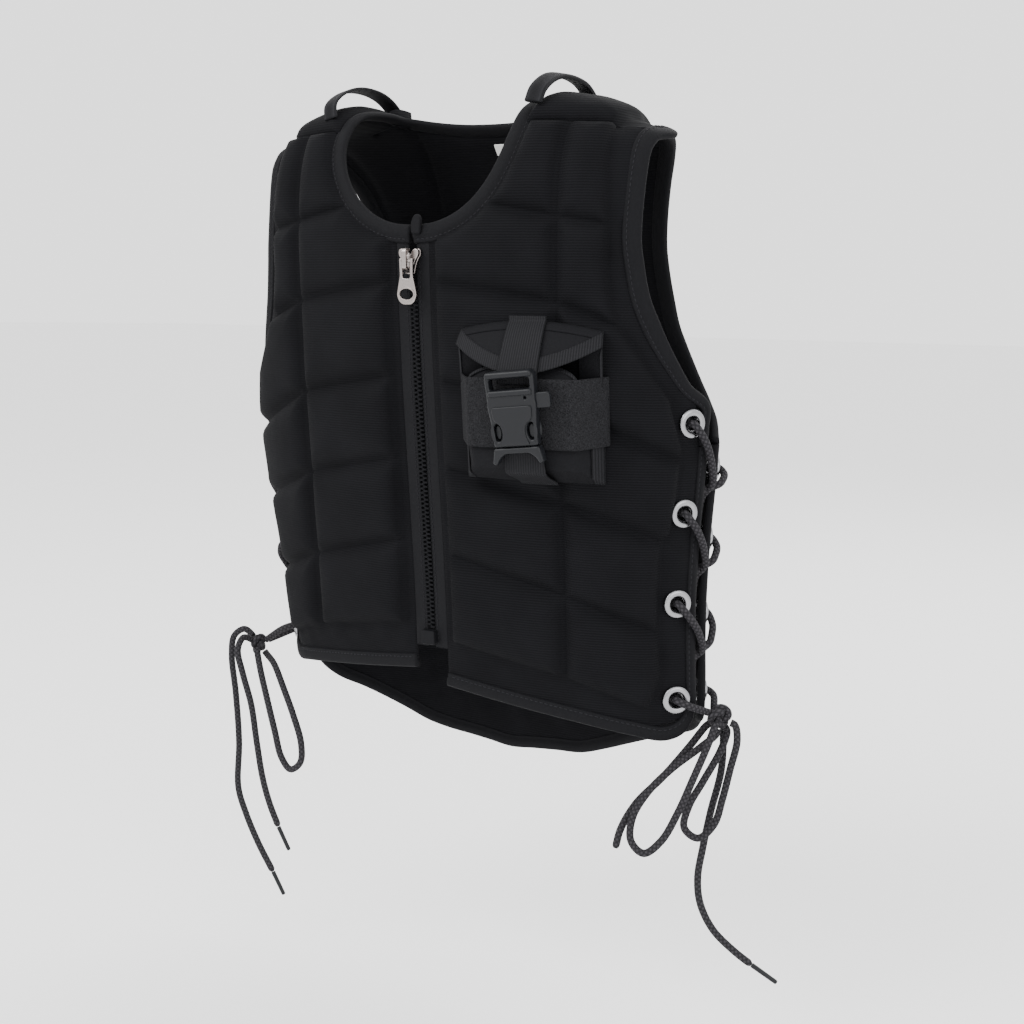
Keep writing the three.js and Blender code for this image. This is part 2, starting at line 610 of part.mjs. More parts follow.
// Back, in one piece, carried over the shoulders to the front shoulder seams
function backRows() {
  const foot = BINDING_WIDTH - TUCK;
  const seam = (name, shift = 0) => (x) => seamHeight(BACK_SEAMS, name, BACK_DIVIDER, x) + shift;
  const neckSide = NECK.halfWidth + foot;
  const nape = (shift) => (x) =>
    (Math.abs(x) < neckSide ? neckNape(foot, x) : ridgeHeight(x) - 1.5) + shift;
  const shoulderSeam = (x) => seamHeight(FRONT_SEAMS, "shoulder", DIVIDER, x);
  const lines = [
    { face: "front", at: (x) => shoulderSeam(x) + SHOULDER_SEAM_GAP / 2, kind: "groove", above: true },
    { face: "front", at: (x) => shoulderSeam(x) + 5, kind: "bevel", above: true },
    { face: "front", at: ridgeHeight, turn: 1, kind: "crown", above: true },
    { face: "back", at: nape(0), kind: "crown", neck: true },
    { face: "back", at: nape(-BEVEL), kind: "crown", neckBevel: true },
  ];
  for (const name of ["yoke", "blades", "ribs", "waist", "loin"]) {
    lines.push({ face: "back", at: seam(name, BEVEL), kind: "bevel" });
    lines.push({ face: "back", at: seam(name), kind: "groove" });
    lines.push({ face: "back", at: seam(name, -BEVEL), kind: "bevel" });
  }
  lines.push({ face: "back", at: seam("foot", BEVEL), kind: "bevel" });
  lines.push({ face: "back", at: seam("foot"), kind: "margin" });
  lines.push({ face: "back", at: seam("hem", HEM_BINDING_WIDTH - TUCK), kind: "margin", corner: true });

  return lines.map((line) => {
    const half = (side) => {
      const cell = (x, columnKind, z = line.at(x)) => ({
        face: line.face,
        x: side * x,
        z,
        turn: line.turn,
        kind: deeper(line.kind, columnKind),
      });
      const neckKind = line.neck ? "margin" : line.neckBevel ? "bevel" : "crown";
      const free = line.above || line.neck;
      const inner = [
        cell(BACK_DIVIDER / 2, neckKind),
        cell(BACK_DIVIDER - BEVEL, deeper(neckKind, "bevel")),
        cell(BACK_DIVIDER, free ? neckKind : "groove"),
      ].map((place) => (line.above ? null : place));
      inner.push(cell(neckSide, free ? "margin" : "bevel"));
      const outerZ = line.at(0.6 * CHEST_HALF_WIDTH);
      const pad = Math.abs(padEdge(line.face, side, outerZ));
      const rimZ = line.corner ? line.at(0.85 * CHEST_HALF_WIDTH) + HEM_CORNER : outerZ;
      const rim = Math.abs(edgeInset(line.face, side, rimZ, bindingWidth(line.face, rimZ) - TUCK));
      const last = Math.max(pad - BEVEL, neckSide + 4);
      return [
        ...inner,
        cell(neckSide + BEVEL + 2, "crown"),
        cell(last, "bevel"),
        cell(Math.max(pad, last + 4), "margin"),
        cell(rim, "margin", line.corner ? rimZ : line.at(rim)),
      ];
    };
    const middle = line.above ? null : {
      face: line.face,
      x: 0,
      z: line.at(0),
      kind: deeper(line.kind, line.neck ? "margin" : line.neckBevel ? "bevel" : "crown"),
    };
    return [...half(-1).reverse(), middle, ...half(1)];
  });
}
const backRooms = [
  ...SIDES.flatMap(({ side }) => eyeletRooms("back", side)),
  ...[neckFrames, ...armFrames, backEdgeFrames].map(roomFor),
];
add("back_panel", cut(quilt(backRows()), backRooms), CLOTH);

for (const face of ["front", "back"]) {
  for (const { side, name } of SIDES) {
    for (let i = 0; i < EYELETS; i++) {
      add(`eyelet_${face}_${name}_${i + 1}`, eyeletRing(eyeletFrame(face, side, i)), METAL);
    }
  }
}

// Zip, closed to the top, in frames on the middle line: across, up and out
function frontFrame(x, z, offset = 0) {
  const { point, normal } = place("front", x, z, offset);
  const across = new THREE.Vector3(0, 0, 1).cross(normal).normalize();
  const up = normal.clone().cross(across).normalize();
  return new THREE.Matrix4().makeBasis(across, up, normal).setPosition(point);
}
const box = (width, height, thickness, x = 0, y = 0, z = 0) =>
  new THREE.BoxGeometry(width, height, thickness).translate(x, y, z);
const zipStrip = (from, to, middle, width, thickness, lift) => {
  const frames = [];
  for (let i = 0; i <= ZIP.steps; i++) {
    frames.push(place("front", middle, lerp(from, to, i / ZIP.steps), MARGIN_MIDDLE + lift));
  }
  return sweep(frames, flatSection(width, thickness));
};
const ZIP = { top: -82, tapeFoot: -357, teethTop: -107, teethFoot: -344, steps: 7 };
for (const { side, name } of SIDES) {
  const tapeInner = TEETH.width / 2 + CLEARANCE;
  const tapeWidth = ZIP_HALF_GAP - tapeInner - CLEARANCE / 2;
  add(
    `zip_tape_${name}`,
    zipStrip(ZIP.top, ZIP.tapeFoot, side * (tapeInner + tapeWidth / 2), tapeWidth, TAPE_THICKNESS, 0),
    WEB,
  );
  const teethWidth = (TEETH.width - CLEARANCE) / 2;
  const teethMiddle = side * (CLEARANCE + teethWidth) / 2;
  add(
    `zip_teeth_${name}`,
    zipStrip(ZIP.teethTop, ZIP.teethFoot, teethMiddle, teethWidth, TEETH.thickness, 0),
    ZIP_PLASTIC,
  );
}
const boxUp = (TAPE_THICKNESS + ZIP_BOX.thickness) / 2 + CLEARANCE;
add(
  "zip_bottom_box",
  box(ZIP_BOX.width, ZIP_BOX.height, ZIP_BOX.thickness)
    .applyMatrix4(frontFrame(0, ZIP.teethFoot - CLEARANCE - ZIP_BOX.height / 2, MARGIN_MIDDLE + boxUp)),
  ZIP_PLASTIC,
);

// Slider with the arch that carries the pull; its frame sits on the pull's pivot
const sliderUnder = MARGIN_MIDDLE + TAPE_THICKNESS / 2 + CLEARANCE;
const pivotOffset = sliderUnder + SLIDER.thickness + CLEARANCE + PULL.pin + 0.6;
const PIVOT_Z = -91;
const pivotFrame = frontFrame(0, PIVOT_Z, pivotOffset);
const sliderTop = -pivotOffset + sliderUnder + SLIDER.thickness;
const sliderBody = box(
  SLIDER.width, SLIDER.height, SLIDER.thickness,
  0, BRIDGE.top - SLIDER.height / 2, sliderTop - SLIDER.thickness / 2,
);
const archTop = PULL.pin + CLEARANCE + BRIDGE.thickness;
const arch = new THREE.ExtrudeGeometry(
  new THREE.Shape([
    [BRIDGE.top, sliderTop - 1],
    [BRIDGE.top, archTop],
    [BRIDGE.foot, archTop],
    [BRIDGE.foot - 4, sliderTop - 1],
    [BRIDGE.foot - 2, sliderTop - 1],
    [BRIDGE.foot + 1, archTop - BRIDGE.thickness],
    [BRIDGE.top - 2, archTop - BRIDGE.thickness],
    [BRIDGE.top - 2, sliderTop - 1],
  ].map(([up, out]) => new THREE.Vector2(up, out))),
  { depth: BRIDGE.width, bevelEnabled: false, curveSegments: 1 },
).applyMatrix4(new THREE.Matrix4().makeBasis(
  new THREE.Vector3(0, 1, 0), new THREE.Vector3(0, 0, 1), new THREE.Vector3(1, 0, 0),
)).translate(-BRIDGE.width / 2, 0, 0);
add("zip_slider", join([sliderBody, arch]).applyMatrix4(pivotFrame), METAL);

// Pull: two arms round the arch, joined by the pin, and a plate with an oval hole
const half = PULL.width / 2;
const outline = [
  [PULL.arm, 1.5], [PULL.arm + 3.4, 1.5], [PULL.arm + 3.4, -10], [half - 2, -13], [half, -PULL.reach + 5],
  [half - 2, -PULL.reach], [-half + 2, -PULL.reach], [-half, -PULL.reach + 5], [-half + 2, -13],
  [-PULL.arm - 3.4, -10], [-PULL.arm - 3.4, 1.5], [-PULL.arm, 1.5], [-PULL.arm, -13], [PULL.arm, -13],
].map(([x, y]) => new THREE.Vector2(x, y));
const plate = new THREE.Shape(outline);
plate.holes.push(new THREE.Path().absellipse(0, -22, 5.5, 3.5, 0, 2 * Math.PI));
const pull = new THREE.ExtrudeGeometry(plate, { depth: PULL.thickness, bevelEnabled: false, curveSegments: 6 })
  .translate(0, 0, -PULL.thickness / 2);
const pin = new THREE.CylinderGeometry(PULL.pin, PULL.pin, 2 * PULL.arm + 1, 10).rotateZ(Math.PI / 2);
add("zip_pull", join([pull, pin]).applyMatrix4(pivotFrame), METAL);

// Lacing: one cord a side, crossing the gap between the eyelets and tied off at the knot
function tube(points, diameter, steps) {
  const circle = [];
  for (let i = 0; i < LACE.sides; i++) {
    const angle = (2 * Math.PI * i) / LACE.sides;
    circle.push(new THREE.Vector2(Math.cos(angle), Math.sin(angle)).multiplyScalar(diameter / 2));
  }
  const extrudePath = new THREE.CatmullRomCurve3(points, false, "centripetal");
  return new THREE.ExtrudeGeometry(new THREE.Shape(circle), { steps, extrudePath });
}
function gapPoint(side, y, z, offset) {
  const face = y < 0 ? "front" : "back";
  const section = (at) => {
    const part = Math.min(Math.abs(at / depth(face, z)), 1) ** SECTION_POWER;
    return new THREE.Vector3(side * halfWidth(side, z) * (1 - part) ** (1 / SECTION_POWER), at, z);
  };
  const normal = section(y + 0.5).sub(section(y - 0.5)).cross(new THREE.Vector3(0, 0, side)).normalize();
  return section(y).addScaledVector(normal, offset);
}
// The way of one strand over its own edge, across the gap and under the other edge.
const STRAND = [
  { y: -19, offset: -1.8 },
  { y: -12, offset: -2.6 },
  { y: -8.5, offset: -3.5 },
  { y: 0, offset: -9, apart: 3.1 },
  { y: 7, offset: -14.2 },
  { y: 19, offset: -15.6 },
];
const HOLE_WAY = [-8, 0, 3];
const KNOTS = [new THREE.Vector3(-190, -23, -386), new THREE.Vector3(193, 5, -389)];
function lacing(side, knot) {
  const ring = (face, k) => eyeletFrame(face, side, k);
  const through = (face, k) =>
    HOLE_WAY.map((out) => ring(face, k).point.clone().addScaledVector(ring(face, k).normal, out));
  const strand = (face, k) => {
    const way = face === "front" ? 1 : -1;
    const other = face === "front" ? "back" : "front";
    const from = ring(face, k).point;
    const to = ring(other, k + 1).point;
    return STRAND.map(({ y, offset, apart = 0 }) => {
      const z = lerp(from.z, to.z, clamp((y + 26) / 52, 0, 1));
      return gapPoint(side, way * y, z, offset + way * apart);
    });
  };
  const half = (face) => {
    const points = [];
    let at = face;
    for (let k = 0; k < EYELETS; k++) {
      points.push(...through(at, k));
      if (k < EYELETS - 1) points.push(...strand(at, k));
      else {
        const hole = ring(at, k);
        const toKnot = knot.clone().sub(hole.point).normalize();
        points.push(hole.point.clone().addScaledVector(hole.normal, 6.2).addScaledVector(toKnot, 6));
        points.push(knot.clone().addScaledVector(toKnot, -(KNOT_RADIUS + CLEARANCE)));
      }
      at = at === "front" ? "back" : "front";
    }
    return points;
  };
  return [...half("front").reverse(), ...half("back")];
}
const LACING_STEPS = 64;
SIDES.forEach(({ side, name }, i) => {
  add(`lacing_${name}`, tube(lacing(side, KNOTS[i]), LACE.diameter, LACING_STEPS), CORD);
  add(
    `knot_${name}`,
    toBody(new THREE.IcosahedronGeometry(KNOT_RADIUS, 1)).translate(...KNOTS[i].toArray()),
    CORD,
  );
});

// Loose ends and loops of the laces: each leaves its knot in a direction, follows points laid by
// hand, and comes back to the knot from another direction or ends, with or without an aglet.
const FREE_CORDS = {
  left_loop_a: { knot: 1, leaves: [0, -0.35, -0.94], points: [
    [186, -8, -408], [172, -23, -422], [161, -35, -437], [155, -44, -453], [157, -49, -467], [167, -50, -473],
    [177, -45, -464], [183, -34, -447], [188, -23, -426], [193, -13, -405],
  ], returns: [0.1, -0.9, -0.42] },
  left_loop_b: { knot: 1, leaves: [0.35, 0.35, -0.87], points: [
    [196, 2, -411], [190, -11, -430], [184, -19, -446], [182, -21, -461], [190, -16, -468], [198, -9, -459],
    [200, -1, -443], [202, 5, -424], [205, 8, -404],
  ], returns: [0.85, 0.3, -0.43] },
  left_end_b: { knot: 1, leaves: [-0.75, -0.2, -0.63], points: [
    [178, -6, -408], [166, -21, -428], [153, -36, -446], [147, -45, -462], [146, -50, -474],
  ] },
  left_end_a: { knot: 1, leaves: [-0.1, 0.85, -0.5], points: [
    [192, 15, -405], [193, 11, -428], [190, 3, -455], [187, -1, -480], [185, -3, -501], [188, -4, -518],
    [197, -2, -535], [211, 2, -548], [223, 5, -556],
  ], aglet: [238, 9, -565] },
  right_end_a: { knot: 0, leaves: [-0.8, 0.1, 0.6], points: [
    [-204, -24, -376], [-212, -27, -382], [-213, -29, -397], [-207, -31, -428], [-203, -32, -466],
    [-204, -32, -504], [-196, -32, -524], [-183, -32, -546], [-168, -32, -566],
  ], aglet: [-157, -32, -582] },
  right_end_b: { knot: 0, leaves: [-0.15, -0.85, 0.5], points: [
    [-192, -39, -379], [-190, -47, -387], [-186, -46, -405], [-181, -42, -430], [-179, -38, -461],
    [-173, -38, -489], [-166, -38, -508], [-157, -38, -525],
  ], aglet: [-146, -38, -542] },
  right_loop: { knot: 0, leaves: [0.55, -0.75, -0.35], points: [
    [-174, -39, -402], [-160, -47, -422], [-149, -51, -444], [-141, -53, -462], [-131, -54, -470],
    [-122, -53, -463], [-123, -51, -449], [-134, -47, -430], [-150, -40, -412], [-168, -30, -398],
  ], returns: [0.75, 0, -0.66] },
};
const KNOT_STUB = 3.5; // a cord stands straight off the knot this far
const CORD_STEP = 2.9; // diameters between sections
for (const [name, { knot, leaves, points, returns, aglet }] of Object.entries(FREE_CORDS)) {
  const offKnot = (direction) =>
    [CLEARANCE, KNOT_STUB].map((gap) => KNOTS[knot].clone()
      .addScaledVector(new THREE.Vector3(...direction).normalize(), KNOT_RADIUS + gap));
  const way = [...offKnot(leaves), ...points.map((p) => new THREE.Vector3(...p))];
  if (returns) way.push(...offKnot(returns).reverse());
  const length = new THREE.CatmullRomCurve3(way, false, "centripetal").getLength();
  add(`lace_${name}`, tube(way, LACE.diameter, Math.round(length / (CORD_STEP * LACE.diameter))), CORD);
  if (!aglet) continue;
  const end = way.at(-1);
  const along = new THREE.Vector3(...aglet).sub(end).normalize();
  const middle = end.clone().addScaledVector(along, CLEARANCE + AGLET.length / 2);
  const geometry = new THREE.CylinderGeometry(AGLET.diameter / 2, AGLET.diameter / 2, AGLET.length, 8);
  add(`aglet_${name}`, alongNormal(geometry, { point: middle, normal: along }), PLASTIC);
}

// Shoulder loops: webbing sewn down at its ends and standing clear between, over the ridge
const LOOPS = [
  { name: "right", across: -SHOULDER_LOOP.across, frames: [
    { face: "front", turn: 0.6, offset: -0.3 }, { face: "front", turn: 0.67, offset: 6.5 },
    { face: "front", turn: 0.8, offset: 9.7 }, { face: "front", turn: 0.93, offset: 11.5 },
    { face: "back", turn: 0.96, offset: 10 }, { face: "back", turn: 0.86, offset: 6.5 },
    { face: "back", turn: 0.74, offset: 0.8 },
  ] },
  { name: "left", across: SHOULDER_LOOP.across - 5, frames: [
    { face: "front", turn: 0.6, offset: 1.4 }, { face: "front", turn: 0.68, offset: 6 },
    { face: "front", turn: 0.82, offset: 9 }, { face: "front", turn: 0.94, offset: 9.5 },
    { face: "back", turn: 0.96, offset: 7.5 }, { face: "back", turn: 0.88, offset: 4.5 },
    { face: "back", turn: 0.79, offset: 1.4 },
  ] },
];
for (const { name, across, frames } of LOOPS) {
  const way = frames.map(({ face, turn, offset }) => placeAtTurn(face, across, 0, turn, offset));
  add(`shoulder_loop_${name}`, sweep(way, flatSection(SHOULDER_LOOP.width, SHOULDER_LOOP.thickness)), WEB);
}

// Blank label sewn to the lining at the nape
const labelPoint = place("back", 0, 0.5, -PAD_THICKNESS - LABEL.thickness);
const labelAcross = new THREE.Vector3(1, 0, 0);
add(
  "neck_label",
  box(LABEL.width, LABEL.height, LABEL.thickness).applyMatrix4(
    new THREE.Matrix4()
      .makeBasis(labelAcross, labelPoint.normal.clone().cross(labelAcross), labelPoint.normal)
      .setPosition(labelPoint.point),
  ),
  LABEL_CLOTH,
);

// Chest pouch. A shell is a grid over across/up with an outer height and a thickness, bent over the chest.
const onChest = (u, w, n) =>
  place("front", POUCH.across + 0.96 * u, heightOf(POUCH.level) + w, n).point;
function shell(columns, rows, low, thickness) {
  const outer = [];
  const inner = [];
  for (const u of columns) {
    for (const w of rows(u)) {
      inner.push(onChest(u, w, low(u, w)));
      outer.push(onChest(u, w, low(u, w) + thickness));
    }
  }
  const n = rows(columns[0]).length;
  const count = outer.length;
  const faces = [];
  for (let i = 0; i + 1 < columns.length; i++) {
    for (let j = 0; j + 1 < n; j++) {
      const a = i * n + j;
      faces.push([a, a + 1, a + n + 1], [a, a + n + 1, a + n]);
    }
  }
  const rim = [];
  for (let j = 0; j + 1 < n; j++) rim.push([j + 1, j], [count - n + j, count - n + j + 1]);
  for (let i = 0; i + 1 < columns.length; i++) {
    rim.push([i * n, (i + 1) * n], [(i + 2) * n - 1, (i + 1) * n - 1]);
  }
  return bodyOf([...outer, ...inner], [
    ...faces,
    ...faces.map(([a, b, c]) => [a + count, c + count, b + count]),
    ...rim.flatMap(([a, b]) => [[a, b, b + count], [a, b + count, a + count]]),
  ]);
}
const spread = (...ends) => [...ends.map((u) => -u), 0, ...ends.toReversed()];
const BASE = 0.6; // everything sewn on starts this far out from the pad tops
const pocketHalf = POUCH.width / 2;
const frontHalf = POUCH.front / 2;
const pocketLift = (u, w) =>
  POUCH.depth * Math.min(
    clamp((pocketHalf - Math.abs(u)) / (pocketHalf - frontHalf), 0, 1),
    clamp((w - POUCH.foot) / 12, 0, 1),
  );
add(
  "pouch_pocket",
  shell(
    spread(pocketHalf, frontHalf, 17),
    () => [POUCH.foot, POUCH.foot + 12, -10, 10, POUCH.mouth],
    (u, w) => BASE + pocketLift(u, w),
    POUCH_WALL,
  ),
  TWILL,
);
const bandLow = (u) =>
  BASE + (POUCH.depth + POUCH_WALL + CLEARANCE) * clamp((BAND.reach - Math.abs(u)) / (BAND.reach - frontHalf - 1), 0, 1);
add(
  "pouch_band",
  shell(
    spread(BAND.reach, frontHalf + 1, 17),
    () => [BAND.middle - BAND.width / 2, BAND.middle, BAND.middle + BAND.width / 2],
    bandLow,
    BAND.thickness,
  ),
  WEB,
);
const flapFoot = (u) => (Math.abs(u) > frontHalf ? 46 : 31.5);
const flapTop = (u) => lerp(POUCH.top, 51, (u / pocketHalf) ** 2);
const flapLow = (u, w) => {
  const fall = clamp((flapTop(u) - w) / (POUCH.top - 31.5), 0, 1);
  return BASE + (POUCH.depth + POUCH_WALL + CLEARANCE) * fall ** 0.8;
};
add(
  "pouch_flap",
  shell(
    spread(pocketHalf, frontHalf, 17),
    (u) => [0, 0.33, 0.67, 1].map((t) => lerp(flapFoot(u), flapTop(u), t)),
    flapLow,
    POUCH_WALL,
  ),
  TWILL,
);
const strapHalf = WEBBING.width / 2;
const overFlap = (w) => flapLow(0, w) + POUCH_WALL + 2 * CLEARANCE;
add(
  "pouch_strap_upper",
  shell(
    [-strapHalf, 0, strapHalf],
    () => [19.5, 25, 31.5, 38, 45, 52, 60],
    (u, w) => overFlap(Math.max(w, 31.5)),
    WEBBING.thickness,
  ),
  WEB,
);
const overBand = BASE + POUCH.depth + POUCH_WALL + BAND.thickness + 2 * CLEARANCE;
add(
  "pouch_strap_lower",
  shell(
    [-strapHalf, 0, strapHalf],
    () => [-56, -49, -44, -36, -30],
    (u, w) => lerp(BASE, overBand + 1.5, clamp((w + 49) / 12, 0, 1)),
    WEBBING.thickness,
  ),
  WEB,
);

// Buckle: a socket with a barred frame above and two windows, and the plug whose prongs it holds
const buckleFrame = frontFrame(POUCH.across, heightOf(POUCH.level), overBand + CLEARANCE + 2);
const rounded = (points, depth, bottom) =>
  new THREE.ExtrudeGeometry(
    new THREE.Shape(points.map(([u, w]) => new THREE.Vector2(u, w))),
    { depth, bevelEnabled: false, curveSegments: 4 },
  ).translate(0, 0, bottom);
const oval = (u) => new THREE.CylinderGeometry(3.2, 3.2, 20, 10).rotateX(Math.PI / 2).scale(1, 1.7, 1)
  .translate(u, -7.5, 0);
const bw = BUCKLE.width / 2;
const socketOutline = [
  [-bw + 2, BUCKLE.top], [bw - 2, BUCKLE.top], [bw, BUCKLE.top - 4], [bw - 2, BUCKLE.waist + 6],
  [bw, BUCKLE.waist], [bw + 0.5, BUCKLE.mouth + 3], [bw - 2, BUCKLE.mouth],
  [-bw + 2, BUCKLE.mouth], [-bw - 0.5, BUCKLE.mouth + 3], [-bw, BUCKLE.waist], [-bw + 2, BUCKLE.waist + 6],
  [-bw, BUCKLE.top - 4],
];
const socket = cut(rounded(socketOutline.toReversed(), BUCKLE.thickness, 0), [
  box(WEBBING.width + 1.6, 8, 30, 0, 21.5, 0),
  box(WEBBING.width + 1.6, 30, 6, 0, 30, 0),
  oval(-11.5),
  oval(11.5),
]);
const whistle = box(10, 10, 4, bw + 3.5, 9.5, BUCKLE.thickness / 2);
add("buckle_socket", join([socket, whistle]).applyMatrix4(buckleFrame), PLASTIC);
const plugTop = BUCKLE.mouth - CLEARANCE;
const plug = cut(
  rounded([
    [-bw + 1, plugTop], [-bw + 3, BUCKLE.foot], [bw - 3, BUCKLE.foot], [bw - 1, plugTop],
  ], BUCKLE.thickness - 1, 0.5),
  [box(WEBBING.width - 1, 4, 30, 0, BUCKLE.foot + 6, 0)],
);
add("buckle_plug", plug.applyMatrix4(buckleFrame), PLASTIC);

export default vest;
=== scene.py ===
import math

import bpy
import numpy as np
from mathutils import Matrix, Vector


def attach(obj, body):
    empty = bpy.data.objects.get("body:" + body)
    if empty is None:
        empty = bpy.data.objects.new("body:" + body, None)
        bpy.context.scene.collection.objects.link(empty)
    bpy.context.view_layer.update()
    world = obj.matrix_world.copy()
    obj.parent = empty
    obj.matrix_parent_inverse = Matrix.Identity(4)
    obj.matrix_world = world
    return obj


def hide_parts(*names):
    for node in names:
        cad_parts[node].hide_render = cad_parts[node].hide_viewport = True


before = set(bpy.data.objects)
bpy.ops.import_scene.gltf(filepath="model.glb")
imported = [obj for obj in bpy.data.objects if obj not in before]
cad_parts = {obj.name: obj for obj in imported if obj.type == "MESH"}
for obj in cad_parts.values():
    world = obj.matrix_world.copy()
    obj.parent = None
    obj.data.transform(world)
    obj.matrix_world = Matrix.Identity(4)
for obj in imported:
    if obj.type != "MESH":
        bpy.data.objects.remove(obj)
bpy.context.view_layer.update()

MM = 0.001
VEST = "vest"
PULL_BODY = "pull"
SIDES = ((-1, "right"), (1, "left"))

# named sizes, as in the solids, mm
VEST_LENGTH = 483
CHEST_HALF_WIDTH = 190
FRONT_DEPTH = 93
BACK_DEPTH = 72
SECTION_POWER = 2.2
RIDGE_RISE = 28
SHOULDER_DROP = 31
SHOULDER_REACH = 166
RIDGE_LINE = -15
CLOSE = {"front": (103, 3.0), "back": (173, 2.2)}
SIDE_GAP = 18
PAD_THICKNESS = 14
GROOVE_DEPTH = 5
LINING_GROOVE = 2.5
MARGIN_RECESS = 8
MARGIN_CLOTH = 2.6
MARGIN_MIDDLE = -MARGIN_RECESS - MARGIN_CLOTH / 2
DIVIDER = 106
BACK_DIVIDER = 68
SAG = {"half": 5, "start": 0.3, "span": 0.5}
SEAM_END = {"side": 0.87, "reach": 1.15}
PLACKET = 6
NECK = {"half": 68, "drop": 75.5, "top": 8, "power": 2.2, "back": 15.5, "back_power": 2.5}
NAPE_GROW = 0.76
NAPE_BELOW_RIDGE = 1.5
BINDING_WIDTH = 12.5
SIDE_BINDING_WIDTH = 8
HEM_BINDING_WIDTH = 10
BINDING_THICKNESS = 5
ARM_LEVELS = [0.486, 0.46, 0.435, 0.41, 0.385, 0.36, 0.33, 0.295, 0.25, 0.213]
ARM_TOP = 0.785
ARM_TAPER = {"front": (0.34, 0.42), "back": (0.42, 0.48)}
SIDE_JOIN_GAP = 0.8
CORNER_TURN = [(4.5, 5), (15, 0)]
HEM_AT_SIDE = 0.85
ZIP_HALF_GAP = 13
EYELET_LEVELS = {"front": [0.456, 0.578, 0.702, 0.836], "back": [0.522, 0.62, 0.725, 0.836]}
EYELET_FROM_EDGE = 18.4
EYELET_SAG = 1.6
LACE_DIAMETER = 5
KNOT_RADIUS = 8
KNOTS = {"right": (-190, -23, -386), "left": (193, 5, -389)}
KNOT_STUB = 3.5
CLEARANCE = 0.3

# level, left, right, front, back: shares of the half width on each side and of the two depths
SECTIONS = [
    (0.0, 1.01, 1.01, 1.0, 1.0),
    (0.213, 1.015, 1.015, 0.996, 1.0),
    (0.317, 1.015, 1.015, 0.96, 1.03),
    (0.42, 1.01, 1.015, 0.908, 1.04),
    (0.524, 1.0, 0.995, 0.845, 1.014),
    (0.627, 0.984, 0.965, 0.78, 0.97),
    (0.731, 0.98, 0.925, 0.72, 0.93),
    (0.834, 0.99, 0.89, 0.677, 0.89),
    (0.917, 0.984, 0.87, 0.645, 0.875),
    (1.0, 0.98, 0.86, 0.645, 0.86),
]
SECTION_COLUMNS = {"left": 1, "right": 2, "front": 3, "back": 4}
# level, front pad edge, front armhole, back pad edge, back armhole: shares of the chest half width
OUTLINE = [
    (0.052, 0.7, 0.835, 0.69, 0.8),
    (0.13, 0.715, 0.83, 0.62, 0.705),
    (0.213, 0.726, 0.826, 0.575, 0.663),
    (0.292, 0.726, 0.853, 0.6, 0.69),
    (0.333, 0.768, 0.888, 0.63, 0.72),
    (0.381, 0.86, 0.937, 0.7, 0.79),
    (0.42, 0.91, 0.985, 0.76, 0.86),
    (0.451, 0.935, 1.06, 0.82, 0.93),
    (0.482, 0.945, 1.1, 0.87, 1.0),
    (0.499, 0.94, 1.2, 0.89, 1.1),
    (0.611, 0.92, 1.2, 0.89, 1.2),
    (0.621, 0.895, 1.2, 0.885, 1.2),
    (0.723, 0.89, 1.2, 0.88, 1.2),
    (0.826, 0.89, 1.2, 0.87, 1.2),
    (0.851, 0.85, 1.2, 0.85, 1.2),
]
OUTLINE_COLUMNS = {"front_pad": 1, "front_arm": 2, "back_pad": 3, "back_arm": 4}
# inner, divider, outer: shares of the vest length at the middle, at the divider and at the side
FRONT_SEAMS = {
    "shoulder": (0.05, 0.056, 0.062),
    "yoke": (0.151, 0.188, 0.207),
    "chest": (0.269, 0.302, 0.343),
    "ribs": (0.4, 0.437, 0.49),
    "waist": (0.518, 0.561, 0.606),
    "belly": (0.638, 0.689, 0.732),
    "foot": (0.768, 0.805, 0.843),
    "hem": (0.839, 0.866, 0.884),
}
BACK_SEAMS = {
    "yoke": (0.15, 0.158, 0.17),
    "blades": (0.285, 0.3, 0.325),
    "ribs": (0.42, 0.44, 0.47),
    "waist": (0.55, 0.57, 0.6),
    "loin": (0.68, 0.7, 0.73),
    "foot": (0.86, 0.855, 0.835),
    "hem": (1.0, 0.985, 0.905),
}

# how the body's surface is sampled
NEAR_SIDE = 0.99999
ACROSS_STEP = 0.4
TURN_STEP = 0.01
INSET_REACH, INSET_STEP = 40, 0.25


def lerp(a, b, t):
    return a + (b - a) * t


def unit(v):
    return v / np.maximum(np.linalg.norm(v, axis=-1, keepdims=True), 1e-12)


def spread(*values):
    return np.broadcast_arrays(*(np.asarray(value, float) for value in values))


def run_of(points, axis=0):
    """The length gone along each line of points, from 0."""
    steps = np.linalg.norm(np.diff(points, axis=axis), axis=-1)
    start = np.zeros_like(np.take(steps, [0], axis=axis))
    return np.concatenate([start, np.cumsum(steps, axis=axis)], axis=axis)


def sampled(values, gone, at):
    """Vectors along a line read at other places on it."""
    return np.stack([np.interp(at, gone, values[:, k]) for k in range(3)], -1)


def round_over(part, power):
    """A superellipse's height over its middle line, at a part of its half width."""
    return (1 - part**power) ** (1 / power)


def height_of(level):
    return RIDGE_RISE - level * VEST_LENGTH


def level_of(z):
    return (RIDGE_RISE - z) / VEST_LENGTH


